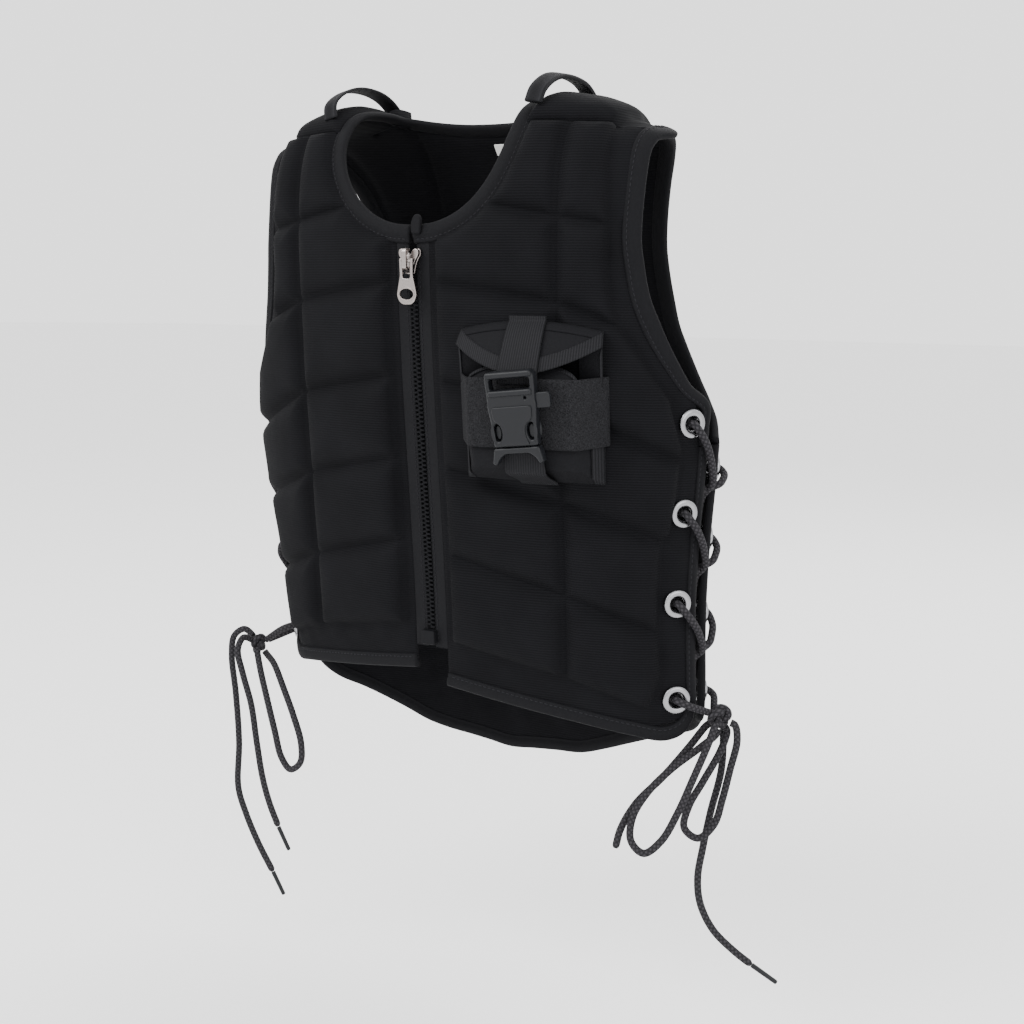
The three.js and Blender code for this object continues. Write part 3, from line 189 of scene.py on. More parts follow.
def read(rows, column, level):
    """One column of a table at a level, on a smooth curve through its rows."""
    table = np.array(rows)
    levels, values = table[:, 0], table[:, column]
    level = np.asarray(level, float)
    last = len(rows) - 1
    i = np.clip(np.searchsorted(levels, level, side="right"), 1, last)
    before, after = np.maximum(i - 2, 0), np.minimum(i + 1, last)
    span = levels[i] - levels[i - 1]
    t = np.clip((level - levels[i - 1]) / span, 0, 1)
    leaving = (values[i] - values[before]) / (levels[i] - levels[before]) * span
    arriving = (values[after] - values[i - 1]) / (levels[after] - levels[i - 1]) * span
    t2, t3 = t * t, t * t * t
    return (
        (2 * t3 - 3 * t2 + 1) * values[i - 1]
        + (t3 - 2 * t2 + t) * leaving
        + (-2 * t3 + 3 * t2) * values[i]
        + (t3 - t2) * arriving
    )


def half_width(x, z):
    right, left = (read(SECTIONS, SECTION_COLUMNS[name], level_of(z)) for _, name in SIDES)
    return CHEST_HALF_WIDTH * np.where(np.asarray(x) < 0, right, left)


def depth(face, z):
    full = -FRONT_DEPTH if face == "front" else BACK_DEPTH
    return full * read(SECTIONS, SECTION_COLUMNS[face], level_of(z))


def ridge_height(x):
    return RIDGE_RISE - SHOULDER_DROP * (np.asarray(x, float) / SHOULDER_REACH) ** 2


def turn_at(face, x, z):
    """How far the body has turned over at a height, from 0 below the shoulder to 1 on the ridge."""
    below, power = CLOSE[face]
    start = RIDGE_RISE - below
    rise = np.clip((z - start) / (ridge_height(x) - start), 0, 1)
    return 2 / math.pi * np.arcsin(rise ** (power / 2))


def on_body(face, x, z, turn):
    x, z, turn = spread(x, z, turn)
    below, power = CLOSE[face]
    start = RIDGE_RISE - below
    angle = np.clip(turn, 0, 1) * math.pi / 2
    bend = 2 / power
    over = turn > 0
    height = np.where(over, start + (ridge_height(x) - start) * np.sin(angle) ** bend, z)
    across = np.minimum(np.abs(x) / half_width(x, height), NEAR_SIDE)
    y = depth(face, height) * round_over(across, SECTION_POWER)
    y = np.where(over, lerp(RIDGE_LINE, y, np.maximum(np.cos(angle), 0) ** bend), y)
    return np.stack([x, y, height], -1)


def place_at_turn(face, x, z, turn, offset=0.0):
    """Points on the body, lifted by an offset, and the outward normals there."""
    x, z, turn = spread(x, z, turn)
    limit = half_width(x, z) * NEAR_SIDE
    left = on_body(face, np.maximum(x - ACROSS_STEP, -limit), z, turn)
    right = on_body(face, np.minimum(x + ACROSS_STEP, limit), z, turn)
    over = turn > 0
    rise = np.where(over, 0, 1)
    up = on_body(face, x, z + rise, np.where(over, np.minimum(turn + TURN_STEP, 1), 0))
    down = on_body(face, x, z - rise, np.where(over, np.maximum(turn - TURN_STEP, 1e-4), 0))
    normal = unit(np.cross(right - left, up - down))
    if face == "back":
        normal = -normal
    return on_body(face, x, z, turn) + normal * np.asarray(offset)[..., None], normal


def place(face, x, z, offset=0.0):
    return place_at_turn(face, x, z, turn_at(face, x, z), offset)


def outline(name, z):
    return CHEST_HALF_WIDTH * read(OUTLINE, OUTLINE_COLUMNS[name], level_of(z))


def edge_width(face, side, z):
    part = np.minimum(np.abs(SIDE_GAP / 2 / depth(face, z)), 1)
    laced = half_width(side, z) * round_over(part, SECTION_POWER)
    return side * np.minimum(outline(face + "_arm", z), laced)


def edge_inset(face, side, z, distance):
    """The outline's half width moved inward over the surface by a distance."""
    z, distance = spread(z, distance)
    edge = edge_width(face, side, z)
    steps = np.arange(0, INSET_REACH, INSET_STEP)
    across, height = np.reshape(edge, (-1, 1)) - side * steps, z.reshape(-1, 1)
    gone = run_of(on_body(face, across, height, turn_at(face, across, height)), 1)
    inward = [np.interp(far, line, steps) for far, line in zip(distance.reshape(-1), gone)]
    return edge - side * np.array(inward).reshape(distance.shape)


def binding_width(face, z):
    low, high = ARM_TAPER[face]
    return lerp(BINDING_WIDTH, SIDE_BINDING_WIDTH, np.clip((level_of(z) - low) / (high - low), 0, 1))


def pad_edge(face, side, z):
    share = outline(face + "_pad", z) / CHEST_HALF_WIDTH
    return side * share * np.minimum(CHEST_HALF_WIDTH, half_width(side, z))


def neck_dip(grow, x):
    part = np.minimum(np.abs(x) / (NECK["half"] + grow), 1)
    return NECK["top"] - (NECK["drop"] + grow) * round_over(part, NECK["power"])


def neck_reach(grow, z):
    part = np.clip((NECK["top"] - z) / (NECK["drop"] + grow), 0, 1)
    return (NECK["half"] + grow) * round_over(part, NECK["power"])


def neck_nape(grow, x):
    reach = NECK["half"] + grow
    middle = NECK["back"] - NAPE_GROW * grow
    rise = ridge_height(reach) - NAPE_BELOW_RIDGE - middle
    return middle + rise * np.minimum(np.abs(x) / reach, 1) ** NECK["back_power"]


def sag(side, z):
    return -side * SAG["half"] * np.clip((level_of(z) - SAG["start"]) / SAG["span"], 0, 1)


def seam_height(seams, name, divider, x, side=0):
    inner, middle, outer = seams[name]
    at = np.abs(np.asarray(x, float))
    far = SEAM_END["side"] * CHEST_HALF_WIDTH
    beyond = np.minimum((at - divider) / (far - divider), SEAM_END["reach"])
    share = np.where(at < divider, lerp(inner, middle, at / divider), lerp(middle, outer, beyond))
    z = height_of(share)
    return z + sag(side, z)


# objects and meshes
def shown(name, data):
    obj = bpy.data.objects.new(name, data)
    bpy.context.scene.collection.objects.link(obj)
    return obj


def new_mesh(name, verts, faces):
    mesh = bpy.data.meshes.new(name)
    corners = [tuple(int(i) for i in face) for face in faces]
    mesh.from_pydata([tuple(v) for v in np.asarray(verts) * MM], [], corners)
    mesh.validate()
    mesh.update()
    mesh.shade_smooth()
    return shown(name, mesh)


def set_uv(obj, uv):
    layer = obj.data.uv_layers.new(name="uv")
    layer.data.foreach_set("uv", np.asarray(uv, float).reshape(-1))


def finish(obj, look, node=None, body=VEST):
    """Gives a piece the material of its look, its body and the solid it replaces."""
    material, slot = look
    obj.data.materials.clear()
    obj.data.materials.append(material)
    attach(obj, body)
    if node:
        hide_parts(node)
    return obj


# materials
CLOTH_SPECULAR = 0.06


class Nodes:
    """One material's nodes, with a short call for each kind used here."""

    def __init__(self, name, inputs):
        self.material = bpy.data.materials.new(name)
        self.material.use_nodes = True
        self.tree = self.material.node_tree
        self.shader = self.tree.nodes["Principled BSDF"]
        for key, value in inputs.items():
            self.shader.inputs[key].default_value = value

    def add(self, kind, inputs, output, **settings):
        node = self.tree.nodes.new("ShaderNode" + kind)
        for key, value in settings.items():
            setattr(node, key, value)
        for key, value in inputs.items():
            if isinstance(value, bpy.types.NodeSocket):
                self.tree.links.new(value, node.inputs[key])
            else:
                node.inputs[key].default_value = value
        return node.outputs[output]

    def feed(self, socket, key):
        self.tree.links.new(socket, self.shader.inputs[key])

    def coords(self, kind="Object"):
        return self.add("TexCoord", {}, kind)

    def noise(self, where, scale, detail=2):
        return self.add("TexNoise", {"Vector": where, "Scale": scale, "Detail": detail}, "Fac")

    def wave(self, where, scale, axis, distortion):
        inputs = {"Vector": where, "Scale": scale, "Distortion": distortion}
        return self.add("TexWave", inputs, "Fac", wave_type="BANDS", bands_direction=axis, wave_profile="SIN")

    def maths(self, operation, first, second=0.0):
        return self.add("Math", {0: first, 1: second}, 0, operation=operation)

    def blend(self, *parts):
        """The sum of sockets, each given with its share."""
        total = 0.0
        for socket, share in parts:
            total = self.maths("ADD", self.maths("MULTIPLY", socket, share), total)
        return total

    def mapped(self, value, low, high):
        return self.add("MapRange", {"Value": value, "To Min": low, "To Max": high}, "Result")

    def tint(self, factor, dark, light):
        inputs = {"A": (*dark, 1), "B": (*light, 1), "Factor": factor}
        self.feed(self.add("Mix", inputs, "Result", data_type="RGBA"), "Base Color")

    def bump(self, height, strength, distance, under=None):
        inputs = {"Height": height, "Strength": strength, "Distance": distance}
        if under is not None:
            inputs["Normal"] = under
        normal = self.add("Bump", inputs, "Normal")
        self.feed(normal, "Normal")
        return normal


def cloth_look(name, slot, roughness, weave, **options):
    inputs = {"Roughness": roughness, "Specular IOR Level": CLOTH_SPECULAR, "Sheen Weight": 0.004}
    nodes = Nodes(name, {**inputs, "Sheen Roughness": 0.45})
    weave(nodes, **options)
    return nodes.material, slot


def satin_look(name, slot, color, grain, gloss, bump, metallic=0.0, specular=0.5):
    """A plain colour whose roughness runs between the two ends of gloss with a fine grain."""
    inputs = {"Base Color": (*color, 1), "Metallic": metallic, "Specular IOR Level": specular}
    nodes = Nodes(name, inputs)
    height = nodes.noise(nodes.coords(), grain, 3)
    nodes.feed(nodes.mapped(height, *gloss), "Roughness")
    nodes.bump(height, bump, 0.0001)
    return nodes.material, slot


def rib_cloth(nodes, dark, light):
    where = nodes.coords()
    ribs = nodes.wave(where, 185, "Z", 0.8)
    nodes.tint(nodes.blend((ribs, 0.5), (nodes.noise(where, 30, 3), 0.6)), dark, light)
    soft = nodes.bump(nodes.noise(where, 55, 3), 0.35, 0.0016)
    nodes.bump(nodes.blend((ribs, 1), (nodes.noise(where, 1400), 0.7)), 0.45, 0.00018, soft)


def twill(nodes, dark, light):
    where = nodes.coords()
    mix = nodes.blend((nodes.wave(where, 520, "DIAGONAL", 0.8), 0.4), (nodes.noise(where, 900), 0.6))
    nodes.tint(mix, dark, light)
    nodes.bump(mix, 0.5, 0.0003)


def woven_tape(nodes, dark, light):
    uv = nodes.coords("UV")
    along = nodes.wave(uv, 205, "X", 0.3)
    over = nodes.wave(uv, 420, "Y", 1.2)
    mix = nodes.blend((along, 0.5), (over, 0.25), (nodes.noise(nodes.coords(), 1500), 0.3))
    nodes.tint(mix, dark, light)
    nodes.bump(mix, 0.6, 0.0004)


def braid(nodes, dark, light):
    uv = nodes.coords("UV")
    across, along = (nodes.add("SeparateXYZ", {0: uv}, k) for k in range(2))

    def strands(turns):
        phase = nodes.maths("ADD", along, nodes.maths("MULTIPLY", across, turns))
        return nodes.maths("ABSOLUTE", nodes.maths("SINE", nodes.maths("MULTIPLY", phase, math.pi)))

    crossed = nodes.maths("MULTIPLY", strands(4), strands(-4))
    mix = nodes.blend((crossed, 0.8), (nodes.noise(nodes.coords(), 1800), 0.25))
    nodes.tint(mix, dark, light)
    nodes.bump(mix, 0.9, 0.0007)


def speckle(nodes, dark, light):
    where = nodes.coords()
    grain = nodes.mapped(nodes.noise(where, 1350, 1), -0.8, 1.8)
    mix = nodes.blend((grain, 0.75), (nodes.wave(where, 640, "DIAGONAL", 1.5), 0.25))
    nodes.tint(mix, dark, light)
    nodes.bump(mix, 0.6, 0.0004)


# each cloth's darkest and lightest colour
TINTS = {
    "rib_cloth": ((0.0016, 0.0016, 0.002), (0.0062, 0.0062, 0.0074)),
    "binding_twill": ((0.0026, 0.0026, 0.003), (0.0095, 0.0095, 0.011)),
    "pouch_twill": ((0.0032, 0.0032, 0.0038), (0.009, 0.009, 0.0105)),
    "webbing": ((0.0025, 0.0025, 0.003), (0.0165, 0.0165, 0.0185)),
    "elastic": ((0.002, 0.002, 0.0025), (0.019, 0.019, 0.021)),
    "zip_tape": ((0.004, 0.004, 0.005), (0.011, 0.011, 0.012)),
    "lace_braid": ((0.007, 0.007, 0.008), (0.04, 0.038, 0.042)),
}


def dyed(name, slot, roughness, weave):
    dark, light = TINTS[name]
    return cloth_look(name, slot, roughness, weave, dark=dark, light=light)


CLOTH = dyed("rib_cloth", "shell_cloth", 0.85, rib_cloth)
TWILL = dyed("binding_twill", "binding_twill", 0.72, twill)
POUCH_CLOTH = dyed("pouch_twill", "binding_twill", 0.72, twill)
WEB = dyed("webbing", "webbing", 0.62, woven_tape)
ELASTIC = dyed("elastic", "webbing", 0.7, speckle)
TAPE = dyed("zip_tape", "webbing", 0.75, twill)
CORD = dyed("lace_braid", "lace_cord", 0.7, braid)
THREAD = satin_look(
    "thread", "binding_twill", (0.014, 0.014, 0.016), 900, (0.5, 0.75), 0.3, specular=CLOTH_SPECULAR
)
STEEL = satin_look("eyelet_nickel", "eyelet_metal", (0.27, 0.27, 0.28), 500, (0.18, 0.34), 0.15, metallic=1.0)
NICKEL = satin_look("slider_nickel", "zip_metal", (0.3, 0.27, 0.258), 400, (0.2, 0.36), 0.15, metallic=1.0)
PLASTIC = satin_look(
    "buckle_plastic", "buckle_plastic", (0.0065, 0.007, 0.0085), 700, (0.3, 0.48), 0.25, specular=0.2
)
TEETH_PLASTIC = satin_look(
    "zip_teeth", "zip_plastic", (0.006, 0.006, 0.007), 700, (0.55, 0.7), 0.2, specular=CLOTH_SPECULAR
)
LABEL_CLOTH = satin_look(
    "label_cloth", "label_cloth", (0.78, 0.78, 0.76), 1200, (0.7, 0.9), 0.3, specular=CLOTH_SPECULAR
)

# camera, at the photograph's angle
CAMERA = {"azimuth": 32.0, "elevation": 7.7, "roll": 1.1, "focal_px": 1480, "distance": 1.1}
CAMERA_SHIFT = (-28.6, -206)
CAMERA_LEVEL = -475
PICTURE = 1024
SENSOR = 36


def make_camera():
    azimuth, elevation, roll = (math.radians(CAMERA[key]) for key in ("azimuth", "elevation", "roll"))
    level = math.cos(elevation)
    back = Vector((math.sin(azimuth) * level, -math.cos(azimuth) * level, math.sin(elevation)))
    right = Vector((math.cos(azimuth), math.sin(azimuth), 0))
    up = back.cross(right)
    right, up = right * math.cos(roll) + up * math.sin(roll), up * math.cos(roll) - right * math.sin(roll)
    across, rise = CAMERA_SHIFT
    eye = Vector((0, 0, CAMERA_LEVEL * MM)) + back * CAMERA["distance"] - right * across * MM - up * rise * MM
    data = bpy.data.cameras.new("camera")
    data.sensor_width = SENSOR
    data.lens = CAMERA["focal_px"] * SENSOR / PICTURE
    data.clip_start = 0.01
    camera = shown("camera", data)
    camera.matrix_world = Matrix.Translation(eye) @ Matrix((right, up, back)).transposed().to_4x4()
    bpy.context.scene.camera = camera


make_camera()

# tubes and cords
SPAN_POINTS = 24
CORD_STEP = 1.5
LACING_STEP = 1.6
BRAID_PITCH = 3.4
ROUND_END = (0.92, 0.5)


def smooth_path(points, step):
    """Centripetal Catmull-Rom through the points, resampled at an even step, and its length."""
    points = np.array(points, float)
    points = np.vstack([2 * points[0] - points[1], points, 2 * points[-1] - points[-2]])
    curve = []
    for i in range(1, len(points) - 2):
        near = points[i - 1 : i + 3]
        knot = np.concatenate([[0], np.cumsum(np.linalg.norm(np.diff(near, axis=0), axis=1) ** 0.5)])
        for t in np.linspace(knot[1], knot[2], SPAN_POINTS, endpoint=False):
            ones = [lerp(near[k], near[k + 1], (t - knot[k]) / (knot[k + 1] - knot[k])) for k in range(3)]
            twos = [lerp(ones[k], ones[k + 1], (t - knot[k]) / (knot[k + 2] - knot[k])) for k in range(2)]
            curve.append(lerp(*twos, (t - knot[1]) / (knot[2] - knot[1])))
    curve = np.array([*curve, points[-2]])
    gone = run_of(curve)
    count = max(int(round(gone[-1] / step)), 4)
    return sampled(curve, gone, np.linspace(0, gone[-1], count + 1)), gone[-1]


def carried_frames(path):
    """Side and up vectors carried along a path without twisting."""
    tangent = unit(np.gradient(path, axis=0))
    side = np.zeros_like(path)
    first = np.cross(tangent[0], [0, 0, 1.0])
    if np.linalg.norm(first) < 1e-3:
        first = np.cross(tangent[0], [0, 1.0, 0])
    side[0] = unit(first)
    for i in range(1, len(path)):
        side[i] = unit(side[i - 1] - tangent[i] * np.dot(side[i - 1], tangent[i]))
    return side, np.cross(tangent, side)


def round_angles(count):
    return np.linspace(0, 2 * math.pi, count, endpoint=False)


def tube_faces(rings, count):
    """Faces between rings of count points each, with a cap at either end."""
    faces = []
    for i in range(rings - 1):
        for k in range(count):
            m = (k + 1) % count
            faces.append((i * count + k, i * count + m, (i + 1) * count + m, (i + 1) * count + k))
    return faces + [tuple(reversed(range(count))), tuple(range((rings - 1) * count, rings * count))]


def loft(name, rings, uv_scale):
    """Rings of equal count joined in order, with UVs: across 0 to 1, along in rings, then scaled."""
    n, m = rings.shape[:2]
    corners = [(0, 0), (1, 0), (1, 1), (0, 1)]
    uv = [((k + a) / m, i + b) for i in range(n - 1) for k in range(m) for a, b in corners]
    uv += [(0.5, 0)] * m + [(0.5, n - 1)] * m
    obj = new_mesh(name, rings.reshape(-1, 3), tube_faces(n, m))
    set_uv(obj, np.array(uv) * uv_scale)
    return obj


def tube_mesh(name, path, radii, sides=16):
    side, up = carried_frames(path)
    angle = round_angles(sides)[None, :, None]
    ring = np.cos(angle) * side[:, None, :] + np.sin(angle) * up[:, None, :]
    step = np.linalg.norm(np.diff(path, axis=0), axis=1).mean()
    rings = path[:, None, :] + ring * np.broadcast_to(radii, len(path))[:, None, None]
    return loft(name, rings, (1.0, step / BRAID_PITCH))


# each free cord leaves its knot one way, passes its points and ends in a tip, bare or back in the knot
FREE_CORDS = {
    "left_loop_a": {"knot": "left", "leaves": (0, -0.35, -0.94), "returns": (0.1, -0.9, -0.42), "points": [
        (186, -8, -408), (172, -23, -422), (161, -35, -437), (155, -44, -453), (157, -49, -467),
        (167, -50, -473), (177, -45, -464), (183, -34, -447), (188, -23, -426), (193, -13, -405),
    ]},
    "left_loop_b": {"knot": "left", "leaves": (0.35, 0.35, -0.87), "returns": (0.85, 0.3, -0.43), "points": [
        (196, 2, -411), (190, -11, -430), (184, -19, -446), (182, -21, -461), (190, -16, -468),
        (198, -9, -459), (200, -1, -443), (202, 5, -424), (205, 8, -404),
    ]},
    "left_end_b": {"knot": "left", "leaves": (-0.75, -0.2, -0.63), "points": [
        (178, -6, -408), (166, -21, -428), (153, -36, -446), (147, -45, -462), (146, -50, -474),
    ]},
    "left_end_a": {"knot": "left", "leaves": (-0.1, 0.85, -0.5), "tip": (238, 9, -565), "points": [
        (192, 15, -405), (193, 11, -428), (190, 3, -455), (187, -1, -480), (185, -3, -501),
        (188, -4, -518), (197, -2, -535), (211, 2, -548), (223, 5, -556),
    ]},
    "right_end_a": {"knot": "right", "leaves": (-0.8, 0.1, 0.6), "tip": (-157, -32, -582), "points": [
        (-204, -24, -376), (-212, -27, -382), (-213, -29, -397), (-207, -31, -428), (-203, -32, -466),
        (-204, -32, -504), (-196, -32, -524), (-183, -32, -546), (-168, -32, -566),
    ]},
    "right_end_b": {"knot": "right", "leaves": (-0.15, -0.85, 0.5), "tip": (-146, -38, -542), "points": [
        (-192, -39, -379), (-190, -47, -387), (-186, -46, -405), (-181, -42, -430), (-179, -38, -461),
        (-173, -38, -489), (-166, -38, -508), (-157, -38, -525),
    ]},
    "right_loop": {"knot": "right", "leaves": (0.55, -0.75, -0.35), "returns": (0.75, 0, -0.66), "points": [
        (-174, -39, -402), (-160, -47, -422), (-149, -51, -444), (-141, -53, -462), (-131, -54, -470),
        (-122, -53, -463), (-123, -51, -449), (-134, -47, -430), (-150, -40, -412), (-168, -30, -398),
    ]},
}
# along the tip from the cord's end, and its radius there
TIP_PROFILE = [(0, 1.5), (0.4, 1.7), (19, 1.55), (19.8, 1.2), (20, 0.6)]
TOLD_POINTS = 36


def metres(points):
    return [tuple(float(c) * MM for c in p) for p in points]


def make_tip(name, end, toward):
    along = unit(np.array(toward, float) - end)
    path = np.array([end + along * CLEARANCE + along * far for far, _ in TIP_PROFILE])
    radii = [radius for _, radius in TIP_PROFILE]
    return finish(tube_mesh("tip_" + name, path, radii), PLASTIC, "aglet_" + name)


def make_cords():
    for name, cord in FREE_CORDS.items():
        knot = np.array(KNOTS[cord["knot"]], float)
        ways = [unit(np.array(cord[key], float)) for key in ("leaves", "returns") if key in cord]
        stubs = [[knot + way * (KNOT_RADIUS + gap) for gap in (CLEARANCE, KNOT_STUB)] for way in ways]
        returned = stubs[1][::-1] if len(stubs) > 1 else []
        path, length = smooth_path([*stubs[0], *cord["points"], *returned], CORD_STEP)
        radii = np.full(len(path), LACE_DIAMETER / 2)
        if not returned:
            radii[-2:] *= ROUND_END
        piece = finish(tube_mesh("cord_" + name, path, radii), CORD, "lace_" + name)
        tips = [make_tip(name, path[-1], cord["tip"])] if "tip" in cord else []
        every = max(len(path) // TOLD_POINTS, 1)
        metres([path[0]])[0]
        metres([*path[::every][:-1], path[-1]])


make_cords()


# sheets, bands and plates
def grid_quads(rows, cols, keep=None):
    """A grid's cells as corner numbers; keep says which of them exist."""
    index = np.arange(rows * cols).reshape(rows, cols)
    cells = np.stack([index[:-1, :-1], index[:-1, 1:], index[1:, 1:], index[1:, :-1]], -1)
    return cells.reshape(-1, 4) if keep is None else cells[keep]


def close_sheet(name, outer, inner, uv, facing, keep=None):
    """A closed cloth of an outer and an inner grid of points, turned to face outward."""
    count = outer.shape[0] * outer.shape[1]
    quads = grid_quads(*outer.shape[:2], keep)
    flat = outer.reshape(-1, 3)
    a, b, d = (flat[quads[:, k]] for k in (0, 1, 3))
    if (np.cross(b - a, d - a) * facing.reshape(-1, 3)[quads[:, 0]]).sum() < 0:
        quads = quads[:, ::-1]
    edges = np.concatenate([quads[:, [k, (k + 1) % 4]] for k in range(4)])
    open_edges = edges[~np.isin(edges[:, 0] * count + edges[:, 1], edges[:, 1] * count + edges[:, 0])]
    start, end = open_edges[:, 0], open_edges[:, 1]
    rims = np.stack([end, start, start + count, end + count], -1)
    used, packed = np.unique(np.concatenate([quads, quads[:, ::-1] + count, rims]), return_inverse=True)
    verts = np.concatenate([flat, inner.reshape(-1, 3)])[used]
    obj = new_mesh(name, verts, packed.reshape(-1, 4))
    corner = np.zeros(len(obj.data.loops), dtype=np.int32)
    obj.data.loops.foreach_get("vertex_index", corner)
    set_uv(obj, (np.concatenate([uv.reshape(-1, 2)] * 2)[used] * MM)[corner])
    return obj


def even_frames(frames, step):
    """Frames (point, normal, scale) smoothed and resampled at an even step."""
    points, normals, scales = (np.array(part) for part in zip(*frames))
    path = smooth_path(points, step)[0]
    gone = run_of(points)
    at = np.linspace(0, gone[-1], len(path))
    return path, unit(sampled(normals, gone, at)), np.interp(at, gone, scales)


def across_frames(path, normal):
    tangent = unit(np.gradient(path, axis=0))
    side = unit(np.cross(tangent, normal))
    return side, np.cross(side, tangent), tangent


def swept(name, frames, section):
    path, normal, scale = frames
    side, up, _ = across_frames(path, normal)
    across, rise = section[None, :, :1], section[None, :, 1:]
    rings = path[:, None, :] + across * scale[:, None, None] * side[:, None, :] + rise * up[:, None, :]
    step = np.linalg.norm(np.diff(path, axis=0), axis=1).mean() * MM
    return loft(name, rings, (np.ptp(section[:, 0]) * MM, step))


def oval_section(width, thickness, powers, sides):
    angle = round_angles(sides)
    parts = zip((width, thickness), (np.cos(angle), np.sin(angle)), powers)
    return np.stack([size / 2 * np.sign(c) * np.abs(c) ** power for size, c, power in parts], -1)


ROLL_THICKNESS = BINDING_THICKNESS + 0.8
FOLD = {"at": 0.56, "width": 1.1, "depth": 0.34, "stitch": 0.55, "lift": 0.62}


def rolled(fold):
    """A rolled binding's section with a sewn valley on the side named by fold."""
    section = oval_section(BINDING_WIDTH, ROLL_THICKNESS, (0.8, 0.72), 22)
    middle = fold * FOLD["at"] * BINDING_WIDTH / 2
    section[:, 1] *= 1 - FOLD["depth"] * np.exp(-(((section[:, 0] - middle) / FOLD["width"]) ** 2))
    return section


def strap_section(width, thickness):
    return oval_section(width, thickness, (0.35, 0.45), 18)


def joined(name, blocks, look, node=None):
    verts, faces = [], []
    for block_verts, block_faces in blocks:
        base = len(verts)
        verts += block_verts
        faces += [tuple(base + i for i in face) for face in block_faces]
    return finish(new_mesh(name, verts, faces), look, node)


# along a stitch, as a share of its length, and its thickness there
STITCH_PROFILE = [(-0.5, 0.25), (-0.3, 0.9), (0.0, 1.0), (0.3, 0.9), (0.5, 0.25)]
STITCH_SIDES = 6


def stitches(name, frames, across, lift, pitch=3.6, length=2.5, radius=0.42):
    """A line of sewn stitches beside a path, each a small spindle of thread."""
    path, normal, scale = frames
    side, up, tangent = across_frames(path, normal)
    line = path + side * (across * scale)[:, None] + up * lift
    gone = run_of(line)
    at = np.arange(pitch, gone[-1] - pitch, pitch)
    centres = sampled(line, gone, at)
    along, sideways, out = (unit(sampled(way, gone, at)) for way in (tangent, side, up))
    faces = tube_faces(len(STITCH_PROFILE), STITCH_SIDES)
    blocks = []
    for k, centre in enumerate(centres):
        ring = [sideways[k] * math.cos(t) + out[k] * math.sin(t) for t in round_angles(STITCH_SIDES)]
        spots = [(centre + along[k] * share * length, radius * fat) for share, fat in STITCH_PROFILE]
        blocks.append(([spot + r * size for spot, size in spots for r in ring], faces))
    return joined(name, blocks, THREAD)


def front_basis(x, z, offset=0.0):
    point, normal = place("front", x, z, offset)
    across = unit(np.cross([0, 0, 1.0], normal))
    return point, across, np.cross(normal, across), normal


SHARP_ANGLE = 50
WELD_REACH = 0.00001


def plate(name, outlines, span, bevel, basis, look, node=None, body=VEST):
    """A flat piece with rounded edges from closed outlines, the first one outside and the rest holes."""
    low, high = span
    curve = bpy.data.curves.new(name, "CURVE")
    curve.dimensions = "2D"
    curve.fill_mode = "BOTH"
    curve.extrude = (high - low) / 2 - bevel
    curve.bevel_depth = bevel
    curve.bevel_resolution = 3
    curve.offset = -bevel
    for points in outlines:
        spline = curve.splines.new("POLY")
        spline.points.add(len(points) - 1)
        for item, (u, w) in zip(spline.points, points):
            item.co = (u, w, 0, 1)
        spline.use_cyclic_u = True
    shaper = shown(name + "_shape", curve)
    mesh = bpy.data.meshes.new_from_object(shaper.evaluated_get(bpy.context.evaluated_depsgraph_get()))
    bpy.data.objects.remove(shaper)
    point, across, up, normal = basis
    local = np.zeros(len(mesh.vertices) * 3)
    mesh.vertices.foreach_get("co", local)
    local = local.reshape(-1, 3)
    placed = point + local[:, :1] * across + local[:, 1:2] * up + (local[:, 2:] + (low + high) / 2) * normal
    mesh.vertices.foreach_set("co", (placed * MM).reshape(-1))
    mesh.name = name
    mesh.update()
    mesh.shade_smooth()
    obj = shown(name, mesh)
    obj.modifiers.new("weld", "WELD").merge_threshold = WELD_REACH
    obj.modifiers.new("edges", "EDGE_SPLIT").split_angle = math.radians(SHARP_ANGLE)
    obj.modifiers.new("even", "WEIGHTED_NORMAL").keep_sharp = True
    return finish(obj, look, node, body)


def rounded(points, radius, steps=5):
    """A closed outline with its corners rounded."""
    points = [np.array(p, float) for p in points]
    out = []
    for i, p in enumerate(points):
        a, b = points[i - 1] - p, points[(i + 1) % len(points)] - p
        r = min(radius, 0.45 * np.linalg.norm(a), 0.45 * np.linalg.norm(b))
        start, end = p + unit(a) * r, p + unit(b) * r
        for t in np.linspace(0, 1, steps):
            out.append(tuple((1 - t) ** 2 * start + 2 * t * (1 - t) * p + t * t * end))
    return out


def oval(u, w, half_across, half_up, count=28):
    return [(u + half_across * math.cos(t), w + half_up * math.sin(t)) for t in round_angles(count)]


def mirrored(right):
    """An outline from its right half."""
    return right + [(-u, w) for u, w in reversed(right)]


def rectangle(half, low, high, middle=0.0):
    return [(middle + u, w) for u, w in ((-half, low), (half, low), (half, high), (-half, high))]


# bindings, as the solids run
BIND_STEP = 2.4


def neck_frames():
    grow = BINDING_WIDTH / 2
    reach = NECK["half"] + grow
    half = []
    for i in range(10):
        x = reach * math.sin(lerp(0.015, math.pi / 2, i / 9)) ** (2 / NECK["power"])
        half.append(place("front", x, float(neck_dip(grow, x)), MARGIN_MIDDLE))
    for t in (0.5, 0.8):
        half.append(place("front", reach, lerp(NECK["top"], float(ridge_height(reach)), t), MARGIN_MIDDLE))
    half.append(place_at_turn("front", reach, 0, 1, MARGIN_MIDDLE))
    for t in (0.97, 0.85, 0.65, 0.4, 0.15):
        half.append(place("back", reach * t, float(neck_nape(grow, reach * t)), MARGIN_MIDDLE))
    flip = np.array([-1, 1, 1])
    both = half + [(p * flip, n * flip) for p, n in reversed(half)]
    return [(p, n, 1.0) for p, n in both]


